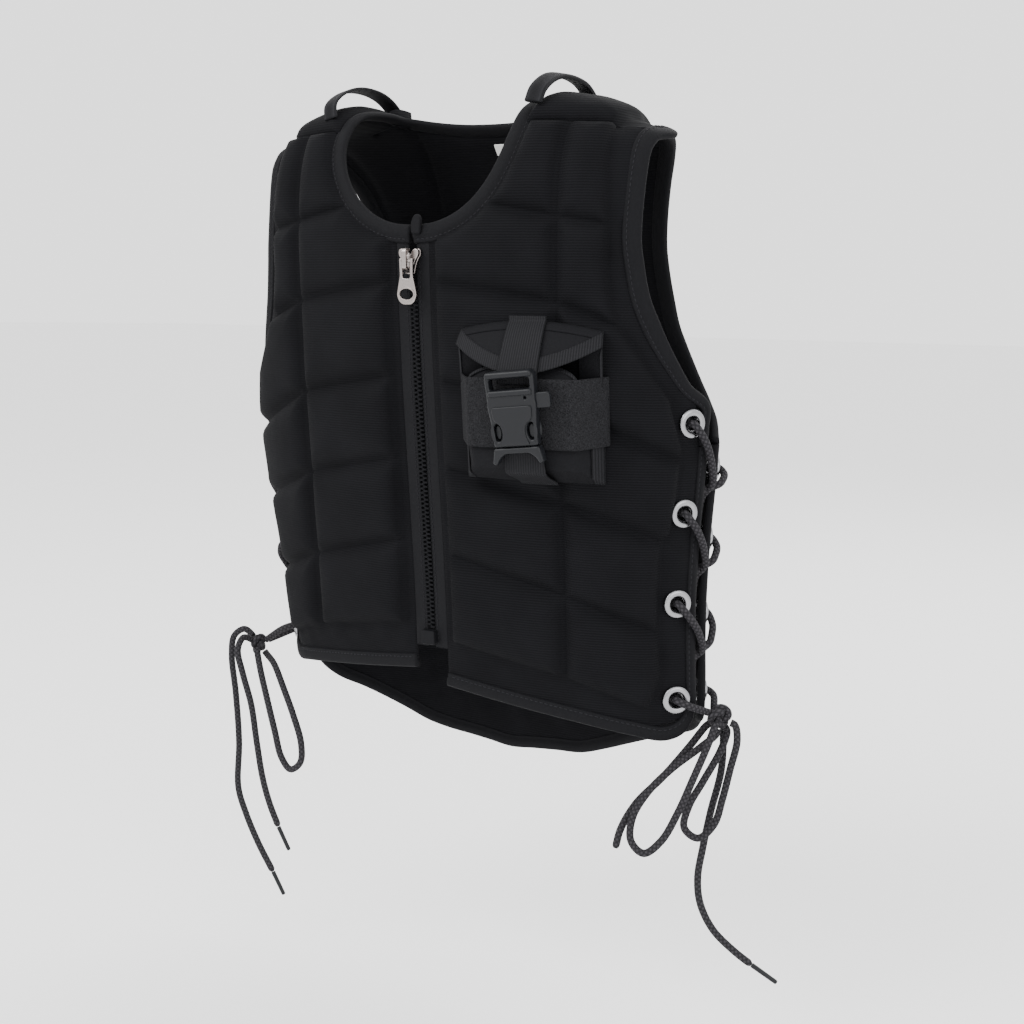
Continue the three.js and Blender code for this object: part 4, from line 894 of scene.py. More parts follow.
def arm_frames(side):
    def at(face, z):
        width = float(binding_width(face, z))
        x = float(edge_inset(face, side, z, width / 2))
        return (*place(face, x, z, MARGIN_MIDDLE), width / BINDING_WIDTH)

    def turned(face, turn):
        return at(face, float(on_body(face, 0.8 * CHEST_HALF_WIDTH, 0, turn)[2]))

    rising = [0.4, 0.55, 0.7, 0.85]
    top = place_at_turn("front", side * ARM_TOP * CHEST_HALF_WIDTH, 0, 1, MARGIN_MIDDLE)
    return (
        [at("front", height_of(level)) for level in ARM_LEVELS]
        + [turned("front", turn) for turn in rising]
        + [(*top, 1.0)]
        + [turned("back", turn) for turn in reversed(rising)]
        + [at("back", height_of(level)) for level in reversed(ARM_LEVELS)]
    )


def edge_frames(face, seams, divider, side, stop):
    """Frames from the armhole's foot down the laced edge, round the corner and along the hem."""

    def hem(x):
        z = float(seam_height(seams, "hem", divider, x))
        return z + (float(sag(side, z)) if face == "front" else 0) + HEM_BINDING_WIDTH / 2

    low = hem(HEM_AT_SIDE * CHEST_HALF_WIDTH)
    top = height_of(ARM_LEVELS[0]) - SIDE_JOIN_GAP
    frames = []
    for i in range(9):
        z = lerp(top, low + CORNER_TURN[1][0], i / 8)
        x = float(edge_inset(face, side, z, SIDE_BINDING_WIDTH / 2))
        frames.append((*place(face, x, z, MARGIN_MIDDLE), SIDE_BINDING_WIDTH / BINDING_WIDTH))
    corner = abs(float(edge_inset(face, side, low, SIDE_BINDING_WIDTH / 2)))
    along = [(corner - inward, rise) for inward, rise in CORNER_TURN]
    along += [(lerp(corner - CORNER_TURN[1][0], stop, i / 8), 0) for i in range(1, 9)]
    scale = HEM_BINDING_WIDTH / BINDING_WIDTH
    frames += [(*place(face, side * x, hem(x) + rise, MARGIN_MIDDLE), scale) for x, rise in along]
    return frames


def make_binding(name, frames, fold, node):
    even = even_frames(frames, BIND_STEP)
    finish(swept(name, even, rolled(fold)), TWILL, node)
    lift = ROLL_THICKNESS / 2 * FOLD["lift"] + 0.15
    stitches(name + "_stitch", even, fold * FOLD["stitch"] * BINDING_WIDTH / 2, lift)


def make_bindings():
    make_binding("neck_roll", neck_frames(), 1, "neck_binding")
    for side, name in SIDES:
        make_binding("armhole_roll_" + name, arm_frames(side), -side, "armhole_binding_" + name)
        frames = edge_frames("front", FRONT_SEAMS, DIVIDER, side, ZIP_HALF_GAP + CLEARANCE)
        make_binding("front_edge_roll_" + name, frames, side, "front_edge_binding_" + name)
    right, left = (edge_frames("back", BACK_SEAMS, BACK_DIVIDER, side, 0) for side, _ in SIDES)
    make_binding("back_edge_roll", right + left[:-1][::-1], 1, "back_edge_binding")


make_bindings()

# quilted panels
TUCK = 4
RIDGE_TUCK = 2.5
HEM_CORNER = 10
BEVEL = 6
SHOULDER_SEAM_OVERLAP = 0.8
PANEL_STEP = {"front": 2.7, "back": 3.2}
BY_TURN = 0.05
# places in a row of the front grid, and out from the middle in a row of the back grid
FRONT_COLUMNS = {"zip": 1, "divider": 7, "pad": 11}
BACK_COLUMNS = {"divider": 3, "neck": 4, "pad": 7}
FAR = 1e3
NECK_FOOT = 11


def rim_width(face, side, z, tuck):
    """Where a panel ends under its binding at a height."""
    return abs(float(edge_inset(face, side, z, float(binding_width(face, z)) - tuck)))


def front_grid(side):
    """Rows of (x, z) of one front half and each row's tag."""
    foot = BINDING_WIDTH - TUCK
    start = ZIP_HALF_GAP + PLACKET
    corner = float(neck_reach(foot, seam_height(FRONT_SEAMS, "yoke", DIVIDER, 72)))

    def seam(name, shift=0.0):
        def at(x):
            z = seam_height(FRONT_SEAMS, name, DIVIDER, x)
            return float(z + shift + sag(side, z))

        return at

    def between(a, b):
        return lambda x: lerp(a(x), b(x), 0.5)

    def line(name, shift):
        plain = seam(name, shift)
        if name != "yoke":
            return plain
        return lambda x: min(plain(x), float(neck_dip(foot, x)) + min(shift, 0))

    low = seam("foot", BEVEL)
    lines = [(seam("hem", HEM_BINDING_WIDTH - TUCK), "hem"), (seam("foot"), "foot"), (low, "")]
    for name in ("belly", "waist", "ribs", "chest", "yoke"):
        under = line(name, -BEVEL)
        lines += [(between(low, under), ""), (under, "")]
        low = line(name, BEVEL)
        on_seam, above_seam = ("yoke", "above") if name == "yoke" else ("groove", "")
        lines += [(line(name, 0.0), on_seam), (low, above_seam)]
    top = seam("shoulder")
    lines += [
        (between(low, top), "above"),
        (seam("shoulder", -BEVEL), "above"),
        (seam("shoulder", SHOULDER_SEAM_OVERLAP / 2), "top"),
    ]
    rows = []
    for at, tag in lines:
        above = tag in ("above", "top")
        neck_x = float(neck_reach(foot, at(corner))) if above else corner
        inner = [ZIP_HALF_GAP + CLEARANCE, start, start + BEVEL, (start + corner) / 2]
        row = [None if above else (x, at(x)) for x in inner]
        row.append((neck_x, at(corner)))
        outer_z = at(abs(float(pad_edge("front", side, at(DIVIDER + 40)))))
        pad = abs(float(pad_edge("front", side, outer_z)))
        first, last = DIVIDER + BEVEL, pad - BEVEL
        outward = (neck_x + BEVEL + 1, DIVIDER - BEVEL, DIVIDER, first, lerp(first, last, 0.5), last, pad)
        row += [(x, at(x)) for x in outward]
        rim_z = outer_z + (HEM_CORNER if tag == "hem" else 0)
        row.append((rim_width("front", side, rim_z, TUCK + (RIDGE_TUCK if above else 0)), rim_z))
        rows.append(row)
    return rows, [tag for _, tag in lines]


def back_grid():
    """Rows of (x, z) of the back and the yokes over the shoulders, with each row's tag and face."""
    foot = BINDING_WIDTH - TUCK
    neck_side = NECK["half"] + foot

    def seam(name, shift=0.0):
        return lambda x: float(seam_height(BACK_SEAMS, name, BACK_DIVIDER, x)) + shift

    def nape(shift):
        def at(x):
            edge = neck_nape(foot, x) if abs(x) < neck_side else ridge_height(x) - NAPE_BELOW_RIDGE
            return float(edge) + shift

        return at

    def shoulder(shift):
        return lambda x: float(seam_height(FRONT_SEAMS, "shoulder", DIVIDER, x)) + shift

    lines = [
        ("front", shoulder(-SHOULDER_SEAM_OVERLAP / 2), "top"),
        ("front", shoulder(5), "above"),
        ("front", lambda x: float(ridge_height(x)), "ridge"),
        ("back", nape(0.0), "nape"),
        ("back", nape(-BEVEL), ""),
    ]
    for name in ("yoke", "blades", "ribs", "waist", "loin"):
        lines += [("back", seam(name, shift), "" if shift else "groove") for shift in (BEVEL, 0, -BEVEL)]
    lines += [
        ("back", seam("foot", BEVEL), ""),
        ("back", seam("foot"), "foot"),
        ("back", seam("hem", HEM_BINDING_WIDTH - TUCK), "hem"),
    ]

    def half(side, face, at, tag):
        above = tag in ("top", "above", "ridge")
        inner = [BACK_DIVIDER / 2, BACK_DIVIDER - BEVEL, BACK_DIVIDER]
        row = [None if above else (side * x, at(x)) for x in inner]
        outer_z = at(0.6 * CHEST_HALF_WIDTH)
        pad = abs(float(pad_edge(face, side, outer_z)))
        rim_z = at(HEM_AT_SIDE * CHEST_HALF_WIDTH) + HEM_CORNER if tag == "hem" else outer_z
        rim = rim_width(face, side, rim_z, TUCK + (RIDGE_TUCK if above or tag == "nape" else 0))
        last = max(pad - BEVEL, neck_side + 4)
        row += [(side * x, at(x)) for x in (neck_side, neck_side + BEVEL + 2, last, max(pad, last + 4))]
        return row + [(side * rim, rim_z if tag == "hem" else at(rim))]

    rows = []
    for face, at, tag in lines:
        middle = None if tag in ("top", "above", "ridge") else (0.0, at(0.0))
        rows.append(half(-1, face, at, tag)[::-1] + [middle] + half(1, face, at, tag))
    return rows, [tag for _, _, tag in lines], [face for face, _, _ in lines]


def ripple(points, wavelength, seed):
    """Smooth seeded waves over space, about -1 to 1."""
    rng = np.random.default_rng(seed)
    total = np.zeros(points.shape[:-1])
    for _ in range(7):
        way = rng.normal(size=3)
        way *= 2 * math.pi / wavelength * rng.uniform(0.7, 1.5) / np.linalg.norm(way)
        total += np.sin(points @ way + rng.uniform(0, 2 * math.pi))
    return total / 3.5


def split_spans(lengths, step):
    """Even steps along spans: where each span starts, and every step's place counted in spans."""
    counts = [max(1, int(round(length / step))) for length in lengths]
    places = [span + np.arange(count) / count for span, count in enumerate(counts)]
    return np.concatenate([[0], np.cumsum(counts)]), np.concatenate([*places, [len(counts)]])


class Panel:
    """A fine grid over one panel's chart, with distances to its sewn lines and edges."""

    def __init__(self, rows, tags, faces, step):
        self.tags = tags
        valid = np.array([[cell is not None for cell in row] for row in rows])
        x, z = np.zeros(valid.shape), np.zeros(valid.shape)
        for r, row in enumerate(rows):
            full = [c for c, cell in enumerate(row) if cell is not None]
            for c in range(len(row)):
                x[r, c], z[r, c] = row[min(full, key=lambda k: abs(k - c))]
        turn = np.array([turn_at(face, x[r], z[r]) for r, face in enumerate(faces)])
        for r, tag in enumerate(tags):
            if tag == "ridge":
                turn[r] = 1
        base = np.array([on_body(face, x[r], z[r], turn[r]) for r, face in enumerate(faces)])
        high = np.linalg.norm(np.diff(base, axis=0), axis=-1).mean(axis=1)
        wide = np.linalg.norm(np.diff(base, axis=1), axis=-1).mean(axis=0)
        self.row_at, down = split_spans(high, step)
        self.col_at, over = split_spans(wide, step)
        r0 = np.minimum(down.astype(int), len(high) - 1)
        c0 = np.minimum(over.astype(int), len(wide) - 1)

        def fine(a):
            b = lerp(a[r0], a[r0 + 1], (down - r0)[:, None])
            return lerp(b[:, c0], b[:, c0 + 1], (over - c0)[None, :])

        fx, fz, ft = fine(x), fine(z), fine(turn)
        self.point = np.zeros((*fx.shape, 3))
        self.normal = np.zeros((*fx.shape, 3))
        for i, r in enumerate(r0):
            face = faces[r + 1]
            by_turn = min(turn[r].min(), turn[r + 1].min()) > BY_TURN
            t = ft[i] if by_turn else turn_at(face, fx[i], fz[i])
            self.point[i], self.normal[i] = place_at_turn(face, fx[i], fz[i], t)
        cells = valid[:-1, :-1].astype(int) + valid[:-1, 1:] + valid[1:, :-1] + valid[1:, 1:]
        self.keep = (cells >= 3)[r0[:-1]][:, c0[:-1]]
        self.down, self.over = run_of(self.point, 0), run_of(self.point, 1)
        self.rows = np.arange(fx.shape[0])[:, None]
        self.cols = np.arange(fx.shape[1])[None, :]

    def from_row(self, r):
        return np.abs(self.down - self.down[self.row_at[r]])

    def from_col(self, c):
        i = self.col_at[c]
        return np.abs(self.over - self.over[:, i : i + 1])

    def tagged(self, *names):
        return [r for r, tag in enumerate(self.tags) if tag in names]

    def from_grooves(self, *names):
        return np.minimum.reduce([self.from_row(r) for r in self.tagged(*names)])


def neck_gap(points):
    """How far points lie outside the neck binding's foot, and 0 under the binding."""
    reach = NECK["half"] + NECK_FOOT
    xs = reach * np.sin(np.linspace(-math.pi / 2, math.pi / 2, 161))
    foot = place("front", xs, neck_dip(NECK_FOOT, xs))[0]
    rise = np.linspace(NECK["top"], float(ridge_height(reach)), 8)
    sides = [place("front", np.full(8, side * reach), rise)[0] for side, _ in SIDES]
    gap = np.full(points.shape[:2], FAR)
    for spot in np.concatenate([foot, *sides]):
        gap = np.minimum(gap, np.linalg.norm(points - spot, axis=-1))
    x, z = points[..., 0], points[..., 2]
    inside = (np.abs(x) < reach) & (z > neck_dip(NECK_FOOT, x)) & (points[..., 1] < 0)
    return np.where(inside, 0, gap)


def front_distances(panel):
    """Distances to the nearest groove and to the nearest margin, 0 on a margin."""
    yoke, foot = panel.tagged("yoke")[0], panel.tagged("foot")[0]
    pad, zip_edge = FRONT_COLUMNS["pad"], FRONT_COLUMNS["zip"]
    groove = np.minimum(panel.from_grooves("groove", "yoke", "top"), panel.from_col(FRONT_COLUMNS["divider"]))
    margin = np.where(panel.rows <= panel.row_at[foot], 0, panel.from_row(foot))
    margin = np.minimum(margin, np.where(panel.cols >= panel.col_at[pad], 0, panel.from_col(pad)))
    zip_side = np.where(panel.cols <= panel.col_at[zip_edge], 0, panel.from_col(zip_edge))
    margin = np.minimum(margin, np.where(panel.rows <= panel.row_at[yoke], zip_side, FAR))
    return groove, np.minimum(margin, neck_gap(panel.point))


def back_distances(panel):
    nape, foot = panel.tagged("nape")[0], panel.tagged("foot")[0]
    middle = len(panel.col_at) // 2
    nape_row = panel.row_at[nape]
    groove = panel.from_grooves("groove", "top")
    margin = np.where(panel.rows >= panel.row_at[foot], 0, panel.from_row(foot))
    for side, _ in SIDES:
        divider, neck_line, pad = (middle + side * BACK_COLUMNS[key] for key in ("divider", "neck", "pad"))
        outside = (panel.cols - panel.col_at[pad]) * side >= 0
        margin = np.minimum(margin, np.where(outside, 0, panel.from_col(pad)))
        groove = np.minimum(groove, np.where(panel.rows > nape_row, panel.from_col(divider), FAR))
        margin = np.minimum(margin, np.where(panel.rows <= nape_row, panel.from_col(neck_line), FAR))
    half = panel.col_at[middle + BACK_COLUMNS["neck"]] - panel.col_at[middle]
    under_neck = (np.abs(panel.cols - panel.col_at[middle]) <= half) & (panel.rows >= nape_row)
    return groove, np.minimum(margin, np.where(under_neck, panel.from_row(nape), FAR))


# the cloth over the pads: its relief and the short pressure simulation that settles it
RELIEF = {"puff": 1.6, "puff_reach": 13, "groove": GROOVE_DEPTH + 1.6}
GROOVE_REACH, GROOVE_POWER = 5.2, 1.3
MARGIN_FALL = 3.6
LINING_FALL = 4
PAD_RIPPLE = {"height": 0.35, "wavelength": 34}
PLAIN_RIPPLE = {"height": 0.8, "wavelength": 26}
CALM_REACH = 8
RIM_SINK = {"reach": 7, "fall": 3}
HOLE_RADIUS = 6.6
HOLD_REACH = 2.4
HOLD_LEVELS = 8
SIM_CAP = 3.5
SIM_FRAMES = 20
CLOTH_SETTINGS = {
    "quality": 4,
    "mass": 0.2,
    "tension_stiffness": 12,
    "compression_stiffness": 12,
    "shear_stiffness": 4,
    "bending_stiffness": 0.15,
    "vertex_group_mass": "hold",
    "shrink_min": -0.025,
    "use_pressure": True,
    "uniform_pressure_force": 3,
}


def settle(name, outer, keep, hold):
    """Pushes the held cloth out with a short pressure simulation and returns where it comes to rest."""
    used, packed = np.unique(grid_quads(*outer.shape[:2], keep), return_inverse=True)
    start = outer.reshape(-1, 3)
    obj = new_mesh(name, start[used], packed.reshape(-1, 4))
    group = obj.vertex_groups.new(name="hold")
    level = np.round(hold.reshape(-1)[used] * HOLD_LEVELS).astype(int)
    for value in range(1, HOLD_LEVELS + 1):
        found = np.nonzero(level == value)[0].tolist()
        if found:
            group.add(found, value / HOLD_LEVELS, "REPLACE")
    cloth = obj.modifiers.new("settle", "CLOTH")
    for key, value in CLOTH_SETTINGS.items():
        setattr(cloth.settings, key, value)
    cloth.settings.effector_weights.gravity = 0
    cloth.collision_settings.use_collision = False
    cloth.point_cache.frame_end = SIM_FRAMES
    scene = bpy.context.scene
    for frame_number in range(1, SIM_FRAMES + 1):
        scene.frame_set(frame_number)
    settled = obj.evaluated_get(bpy.context.evaluated_depsgraph_get())
    found = np.zeros(len(used) * 3)
    settled.data.vertices.foreach_get("co", found)
    scene.frame_set(1)
    bpy.data.objects.remove(obj)
    moved = found.reshape(-1, 3) / MM - start[used]
    moved *= np.minimum(1, SIM_CAP / np.maximum(np.linalg.norm(moved, axis=1, keepdims=True), 1e-9))
    result = start.copy()
    result[used] += np.nan_to_num(moved)
    return result.reshape(outer.shape)


def make_panel(name, panel, distances, holes, seed):
    groove, margin = distances
    near = np.minimum(groove, margin)
    rim = np.minimum(panel.from_col(0), panel.from_col(len(panel.col_at) - 1))
    rim = np.minimum(rim, panel.from_row(panel.tagged("hem")[0]))
    free = (margin <= 0) * np.clip((rim - CALM_REACH) / CALM_REACH, 0, 1)
    wrinkles = PLAIN_RIPPLE["height"] * ripple(panel.point, PLAIN_RIPPLE["wavelength"], seed + 1) * free
    waves = PAD_RIPPLE["height"] * ripple(panel.point, PAD_RIPPLE["wavelength"], seed)
    dip = RELIEF["groove"] * np.exp(-((groove / GROOVE_REACH) ** GROOVE_POWER))
    puff = RELIEF["puff"] * (1 - np.exp(-near / RELIEF["puff_reach"]))
    lift = puff - np.maximum(dip, MARGIN_RECESS * np.exp(-margin / MARGIN_FALL))
    lift = lift + waves * np.clip(near / CALM_REACH, 0, 1) + wrinkles
    lift = lift - np.clip((RIM_SINK["reach"] - rim) / RIM_SINK["fall"], 0, 1)
    lining = -PAD_THICKNESS + LINING_GROOVE * np.exp(-groove / LINING_FALL)
    plain = -MARGIN_RECESS - MARGIN_CLOTH + wrinkles
    lining = lerp(lining, plain, np.exp(-margin / LINING_FALL))
    outer, inner = (panel.point + panel.normal * height[..., None] for height in (lift, lining))
    centre = (panel.point[:-1, :-1] + panel.point[1:, 1:] + panel.point[1:, :-1] + panel.point[:-1, 1:]) / 4
    keep = panel.keep.copy()
    for hole in holes:
        keep &= np.linalg.norm(centre - hole, axis=-1) > HOLE_RADIUS
    hold = np.exp(-((near / HOLD_REACH) ** 2))
    hold[[0, -1], :] = 1
    hold[:, [0, -1]] = 1
    outer = settle(name + "_sheet", outer, keep, hold)
    piece = close_sheet(name, outer, inner, np.stack([panel.over, panel.down], -1), panel.normal, keep)
    finish(piece, CLOTH, name.replace("quilt", "panel"))


def eyelet_frame(face, side, i):
    level = height_of(EYELET_LEVELS[face][i])
    z = level + max(EYELET_SAG * float(sag(side, level)), 0)
    return place(face, float(edge_inset(face, side, z, EYELET_FROM_EDGE)), z, -MARGIN_RECESS)


def make_panels():
    def holes(face, side):
        return [p + n * MARGIN_RECESS for p, n in (eyelet_frame(face, side, i) for i in range(4))]

    for side, name in SIDES:
        rows, tags = front_grid(side)
        rows = [[None if cell is None else (side * cell[0], cell[1]) for cell in row] for row in rows]
        panel = Panel(rows, tags, ["front"] * len(rows), PANEL_STEP["front"])
        make_panel("front_quilt_" + name, panel, front_distances(panel), holes("front", side), 11 + side)
    panel = Panel(*back_grid(), PANEL_STEP["back"])
    back_holes = [hole for side, _ in SIDES for hole in holes("back", side)]
    make_panel("back_quilt", panel, back_distances(panel), back_holes, 31)


make_panels()

# lacing, knots and eyelets: across the side gap, how deep the cord lies and how far two runs part
LACING_WAY = [(-19, -1.8, 0), (-12, -2.6, 0), (-8.5, -3.5, 0), (0, -9, 3.1), (7, -14.2, 0), (19, -15.6, 0)]
LACING_CROSS = 26
HOLE_WAY = (-8, 0, 3)
KNOT_LEAD = (6.2, 6)
EYELET = {"bore": 4.7, "rim": 9.6, "foot": 0.45, "roll": 1.9, "segments": 40}
# the barrel from the bore to behind the cloth and back: radius and how far below the cloth
EYELET_BARREL = [(4.7, 0.8), (5.2, 1.4), (7.8, 1.0), (8.2, 0.4), (5.5, 0.4)]
EYELET_FLANGE = [(5.5, 0.2), (9.5, 0.2)]
WINDING = {"ring": 4.4, "swing": 2.1, "wide": 1.12, "high": 0.95, "deep": 2.5}


def gap_point(side, y, z, offset):
    face = "front" if y < 0 else "back"

    def section(at):
        part = min(abs(at / float(depth(face, z))), 1)
        return np.array([side * float(half_width(side, z)) * round_over(part, SECTION_POWER), at, z])

    normal = unit(np.cross(section(y + 0.5) - section(y - 0.5), [0, 0, side]))
    return section(y) + normal * offset


def lacing_way(side, knot):
    """The lacing of one side, from the knot up one zigzag and down the other to the knot."""

    def half(face):
        points = []
        for k in range(4):
            hole, normal = eyelet_frame(face, side, k)
            points += [hole + normal * out for out in HOLE_WAY]
            if k == 3:
                to_knot = unit(knot - hole)
                out, along = KNOT_LEAD
                lead = hole + normal * out + to_knot * along
                return points + [lead, knot - to_knot * (KNOT_RADIUS + CLEARANCE)]
            way, face = (1, "back") if face == "front" else (-1, "front")
            to = eyelet_frame(face, side, k + 1)[0]
            for y, offset, apart in LACING_WAY:
                crossed = min(max((y + LACING_CROSS) / (2 * LACING_CROSS), 0), 1)
                points.append(gap_point(side, way * y, lerp(hole[2], to[2], crossed), offset + way * apart))

    return half("front")[::-1] + half("back")


def eyelet_mesh(name, hole, normal, node):
    """A rolled metal ring with its barrel, turned about the normal."""
    across = unit(np.cross(normal, [0, 0, 1.0]))
    up = np.cross(across, normal)
    middle, half = (EYELET["rim"] + EYELET["bore"]) / 2, (EYELET["rim"] - EYELET["bore"]) / 2
    roll = np.linspace(0, math.pi, 9)
    heights = [EYELET["foot"] + EYELET["roll"] * math.sin(t) ** 0.8 for t in roll]
    profile = [(middle + half * math.cos(t), height) for t, height in zip(roll, heights)]
    profile += [(radius, -MARGIN_CLOTH - below) for radius, below in EYELET_BARREL] + EYELET_FLANGE
    verts, faces = [], []
    for t in round_angles(EYELET["segments"]):
        out = across * math.cos(t) + up * math.sin(t)
        verts += [hole + out * r + normal * h for r, h in profile]
    n = len(profile)
    for i in range(EYELET["segments"]):
        j = (i + 1) % EYELET["segments"]
        faces += [(i * n + k, j * n + k, j * n + (k + 1) % n, i * n + (k + 1) % n) for k in range(n)]
    return finish(new_mesh(name, verts, faces), STEEL, node)


def knot_mesh(name, centre, out, node):
    """Cord wound over itself in a closed figure about the outward way."""
    axis = unit(np.array(out, float))
    across = unit(np.cross(axis, [0, 0, 1.0]))
    t = np.linspace(0, 2 * math.pi, 121)
    ring = WINDING["ring"] + WINDING["swing"] * np.cos(3 * t)
    path = (
        centre
        + np.outer(ring * np.cos(2 * t) * WINDING["wide"], across)
        + np.outer(ring * np.sin(2 * t) * WINDING["high"], np.cross(across, axis))
        + np.outer(WINDING["deep"] * np.sin(3 * t), axis)
    )
    return finish(tube_mesh(name, path, LACE_DIAMETER / 2, sides=14), CORD, node)


def make_lacing():
    for side, name in SIDES:
        knot = np.array(KNOTS[name], float)
        path, _ = smooth_path(lacing_way(side, knot), LACING_STEP)
        finish(tube_mesh("lace_run_" + name, path, LACE_DIAMETER / 2), CORD, "lacing_" + name)
        knot_mesh("tied_knot_" + name, knot, (side, -0.5, 0.1), "knot_" + name)
        for face in ("front", "back"):
            for k in range(4):
                tag = f"{face}_{name}_{k + 1}"
                eyelet_mesh("ring_" + tag, *eyelet_frame(face, side, k), "eyelet_" + tag)


make_lacing()

# zip, slider and pull
ZIP = {"top": -76, "tape_foot": -357, "teeth_top": -107, "teeth_foot": -344, "teeth_width": 6.6}
TOOTH_PITCH = 3.0
TOOTH_MIDDLE = 1.55
# a tooth's head and its foot in the tape: shift outward, half sizes, chamfer
TOOTH_BLOCKS = [(0.1, (1.75, 0.62, 1.6), 0.35), (-1.15, (0.8, 0.95, 1.3), 0.3)]
TAPE_STITCH_ACROSS = 2.6
TAPE_STITCH = {"lift": 0.7, "pitch": 3.2, "length": 2.2, "radius": 0.3}
FOOT_BOX = {"half_width": 5.5, "half_height": 5, "half_depth": 2.5, "lift": 3}
SLIDER = {"width": 16, "thickness": 5, "lift": 0.5}
PULL = {"pin": 1.1, "arm": 3.2, "reach": 28.6, "width": 16, "thickness": 2}
# the hole in the pull, and the raised rim round it: middle, half across and half up
PULL_HOLE = (-21.8, 5.6, 3.5)
PULL_RIM = [(-21.8, 6.7, 4.8), (-21.8, 5.7, 3.6)]
PIVOT_Z = -91
PIVOT_GAP = 0.6
ARCH_TOP, ARCH_FOOT = 8, -4.5


def block(centre, axes, half, chamfer):
    """Vertices and faces of a block with its outward rim chamfered."""
    verts = []
    for out, inset in ((-half[2], 0), (half[2] - chamfer, 0), (half[2], chamfer)):
        across, up = axes[0] * (half[0] - inset), axes[1] * (half[1] - inset)
        verts += [centre + across * a + up * b + axes[2] * out for a, b in rectangle(1, -1, 1)]
    return verts, tube_faces(3, 4)


def make_tapes():
    inner = ZIP["teeth_width"] / 2 + CLEARANCE
    tape_width = ZIP_HALF_GAP - inner - CLEARANCE / 2
    for side, name in SIDES:
        middle = side * (inner + tape_width / 2)
        heights = np.linspace(ZIP["top"], ZIP["tape_foot"], 15)
        even = even_frames([(*place("front", middle, z, MARGIN_MIDDLE), 1.0) for z in heights], BIND_STEP)
        tape = swept("zip_side_" + name, even, strap_section(tape_width + 0.8, 1.1))
        finish(tape, TAPE, "zip_tape_" + name)
        stitches(f"zip_side_{name}_stitch", even, side * TAPE_STITCH_ACROSS, **TAPE_STITCH)
        blocks = []
        start = ZIP["teeth_top"] - (TOOTH_PITCH / 2 if side > 0 else 0)
        for z in np.arange(start, ZIP["teeth_foot"] + 1, -TOOTH_PITCH):
            point, *axes = front_basis(side * TOOTH_MIDDLE, z, MARGIN_MIDDLE)
            for out, half, chamfer in TOOTH_BLOCKS:
                blocks.append(block(point + axes[0] * side * out, axes, half, chamfer))
        teeth = joined("zip_chain_" + name, blocks, TEETH_PLASTIC, "zip_teeth_" + name)
        teeth.data.shade_flat()
    half_height, half_depth = FOOT_BOX["half_height"], FOOT_BOX["half_depth"]
    foot = ZIP["teeth_foot"] - CLEARANCE - half_height
    basis = front_basis(0, foot, MARGIN_MIDDLE + FOOT_BOX["lift"] + CLEARANCE)
    face = rounded(rectangle(FOOT_BOX["half_width"], -half_height, half_height), 1.6)
    plate("zip_foot_box", [face], (-half_depth, half_depth), 0.8, basis, TEETH_PLASTIC, "zip_bottom_box")


def make_slider():
    under = MARGIN_MIDDLE + SLIDER["lift"] + CLEARANCE
    lift = under + SLIDER["thickness"] + CLEARANCE + PULL["pin"] + PIVOT_GAP
    basis = front_basis(0, PIVOT_Z, lift)
    top = under + SLIDER["thickness"] - lift
    wide = SLIDER["width"] / 2
    flare = [(2.6, ARCH_FOOT - 4.5), (3.2, -6), (4.4, -2), (6, 1), (wide, 3.5), (wide - 0.2, ARCH_TOP - 1)]
    notch = [(wide - 2.2, ARCH_TOP), (3.2, ARCH_TOP - 1), (2, ARCH_TOP - 4)]
    body = rounded(mirrored(flare + notch), 2.2)
    plate("slider_body", [body], (top - SLIDER["thickness"], top - 2.9), 0.6, basis, NICKEL, "zip_slider")
    plate("slider_top", [body], (top - 2.1, top), 0.7, basis, NICKEL)
    plate("slider_core", [oval(0, -2, 2.4, 4)], (top - 3.2, top - 1.8), 0.3, basis, NICKEL)
    point, across, up, normal = basis
    high, sunk = PULL["pin"] + CLEARANCE + 2, top - 0.6
    arch = [(ARCH_TOP, sunk), (ARCH_TOP, high - 1), (ARCH_TOP - 2, high), (ARCH_FOOT, high)]
    arch += [(ARCH_FOOT - 4, sunk), (ARCH_FOOT - 2, sunk), (ARCH_FOOT + 1, high - 2), (ARCH_TOP - 2, high - 2), (ARCH_TOP - 2, sunk)]
    plate("slider_bridge", [rounded(arch, 0.8, 4)], (-1.7, 1.7), 0.5, (point, up, normal, across), NICKEL)

    half, arm, thick = PULL["width"] / 2, PULL["arm"], PULL["thickness"] / 2
    eye = [(arm - 0.1, -11.6), (arm - 0.1, 1.5), (arm + 2.2, 1.5), (arm + 1.9, -10), (arm + 2.6, -12.6)]
    bell = [(half - 0.8, -19), (half, -22.5), (half - 1.8, -26.6), (half - 4.6, -PULL["reach"])]
    face = [rounded(mirrored(eye + bell), 1.6), oval(0, *PULL_HOLE)]
    plate("pull_plate", face, (-thick, thick), 0.45, basis, NICKEL, "zip_pull", PULL_BODY)
    rim = [oval(0, *ring) for ring in PULL_RIM]
    plate("pull_rim", rim, (thick - 0.25, thick + 0.35), 0.2, basis, NICKEL, body=PULL_BODY)
    pin = np.array([point + across * u for u in (-arm - 0.5, 0, arm + 0.5)])
    finish(tube_mesh("pull_pin", pin, PULL["pin"]), NICKEL, body=PULL_BODY)


make_tapes()
make_slider()

# shoulder loops, neck tab and label
LOOP_STEP = 1.6
LOOP_WIDTH = 12
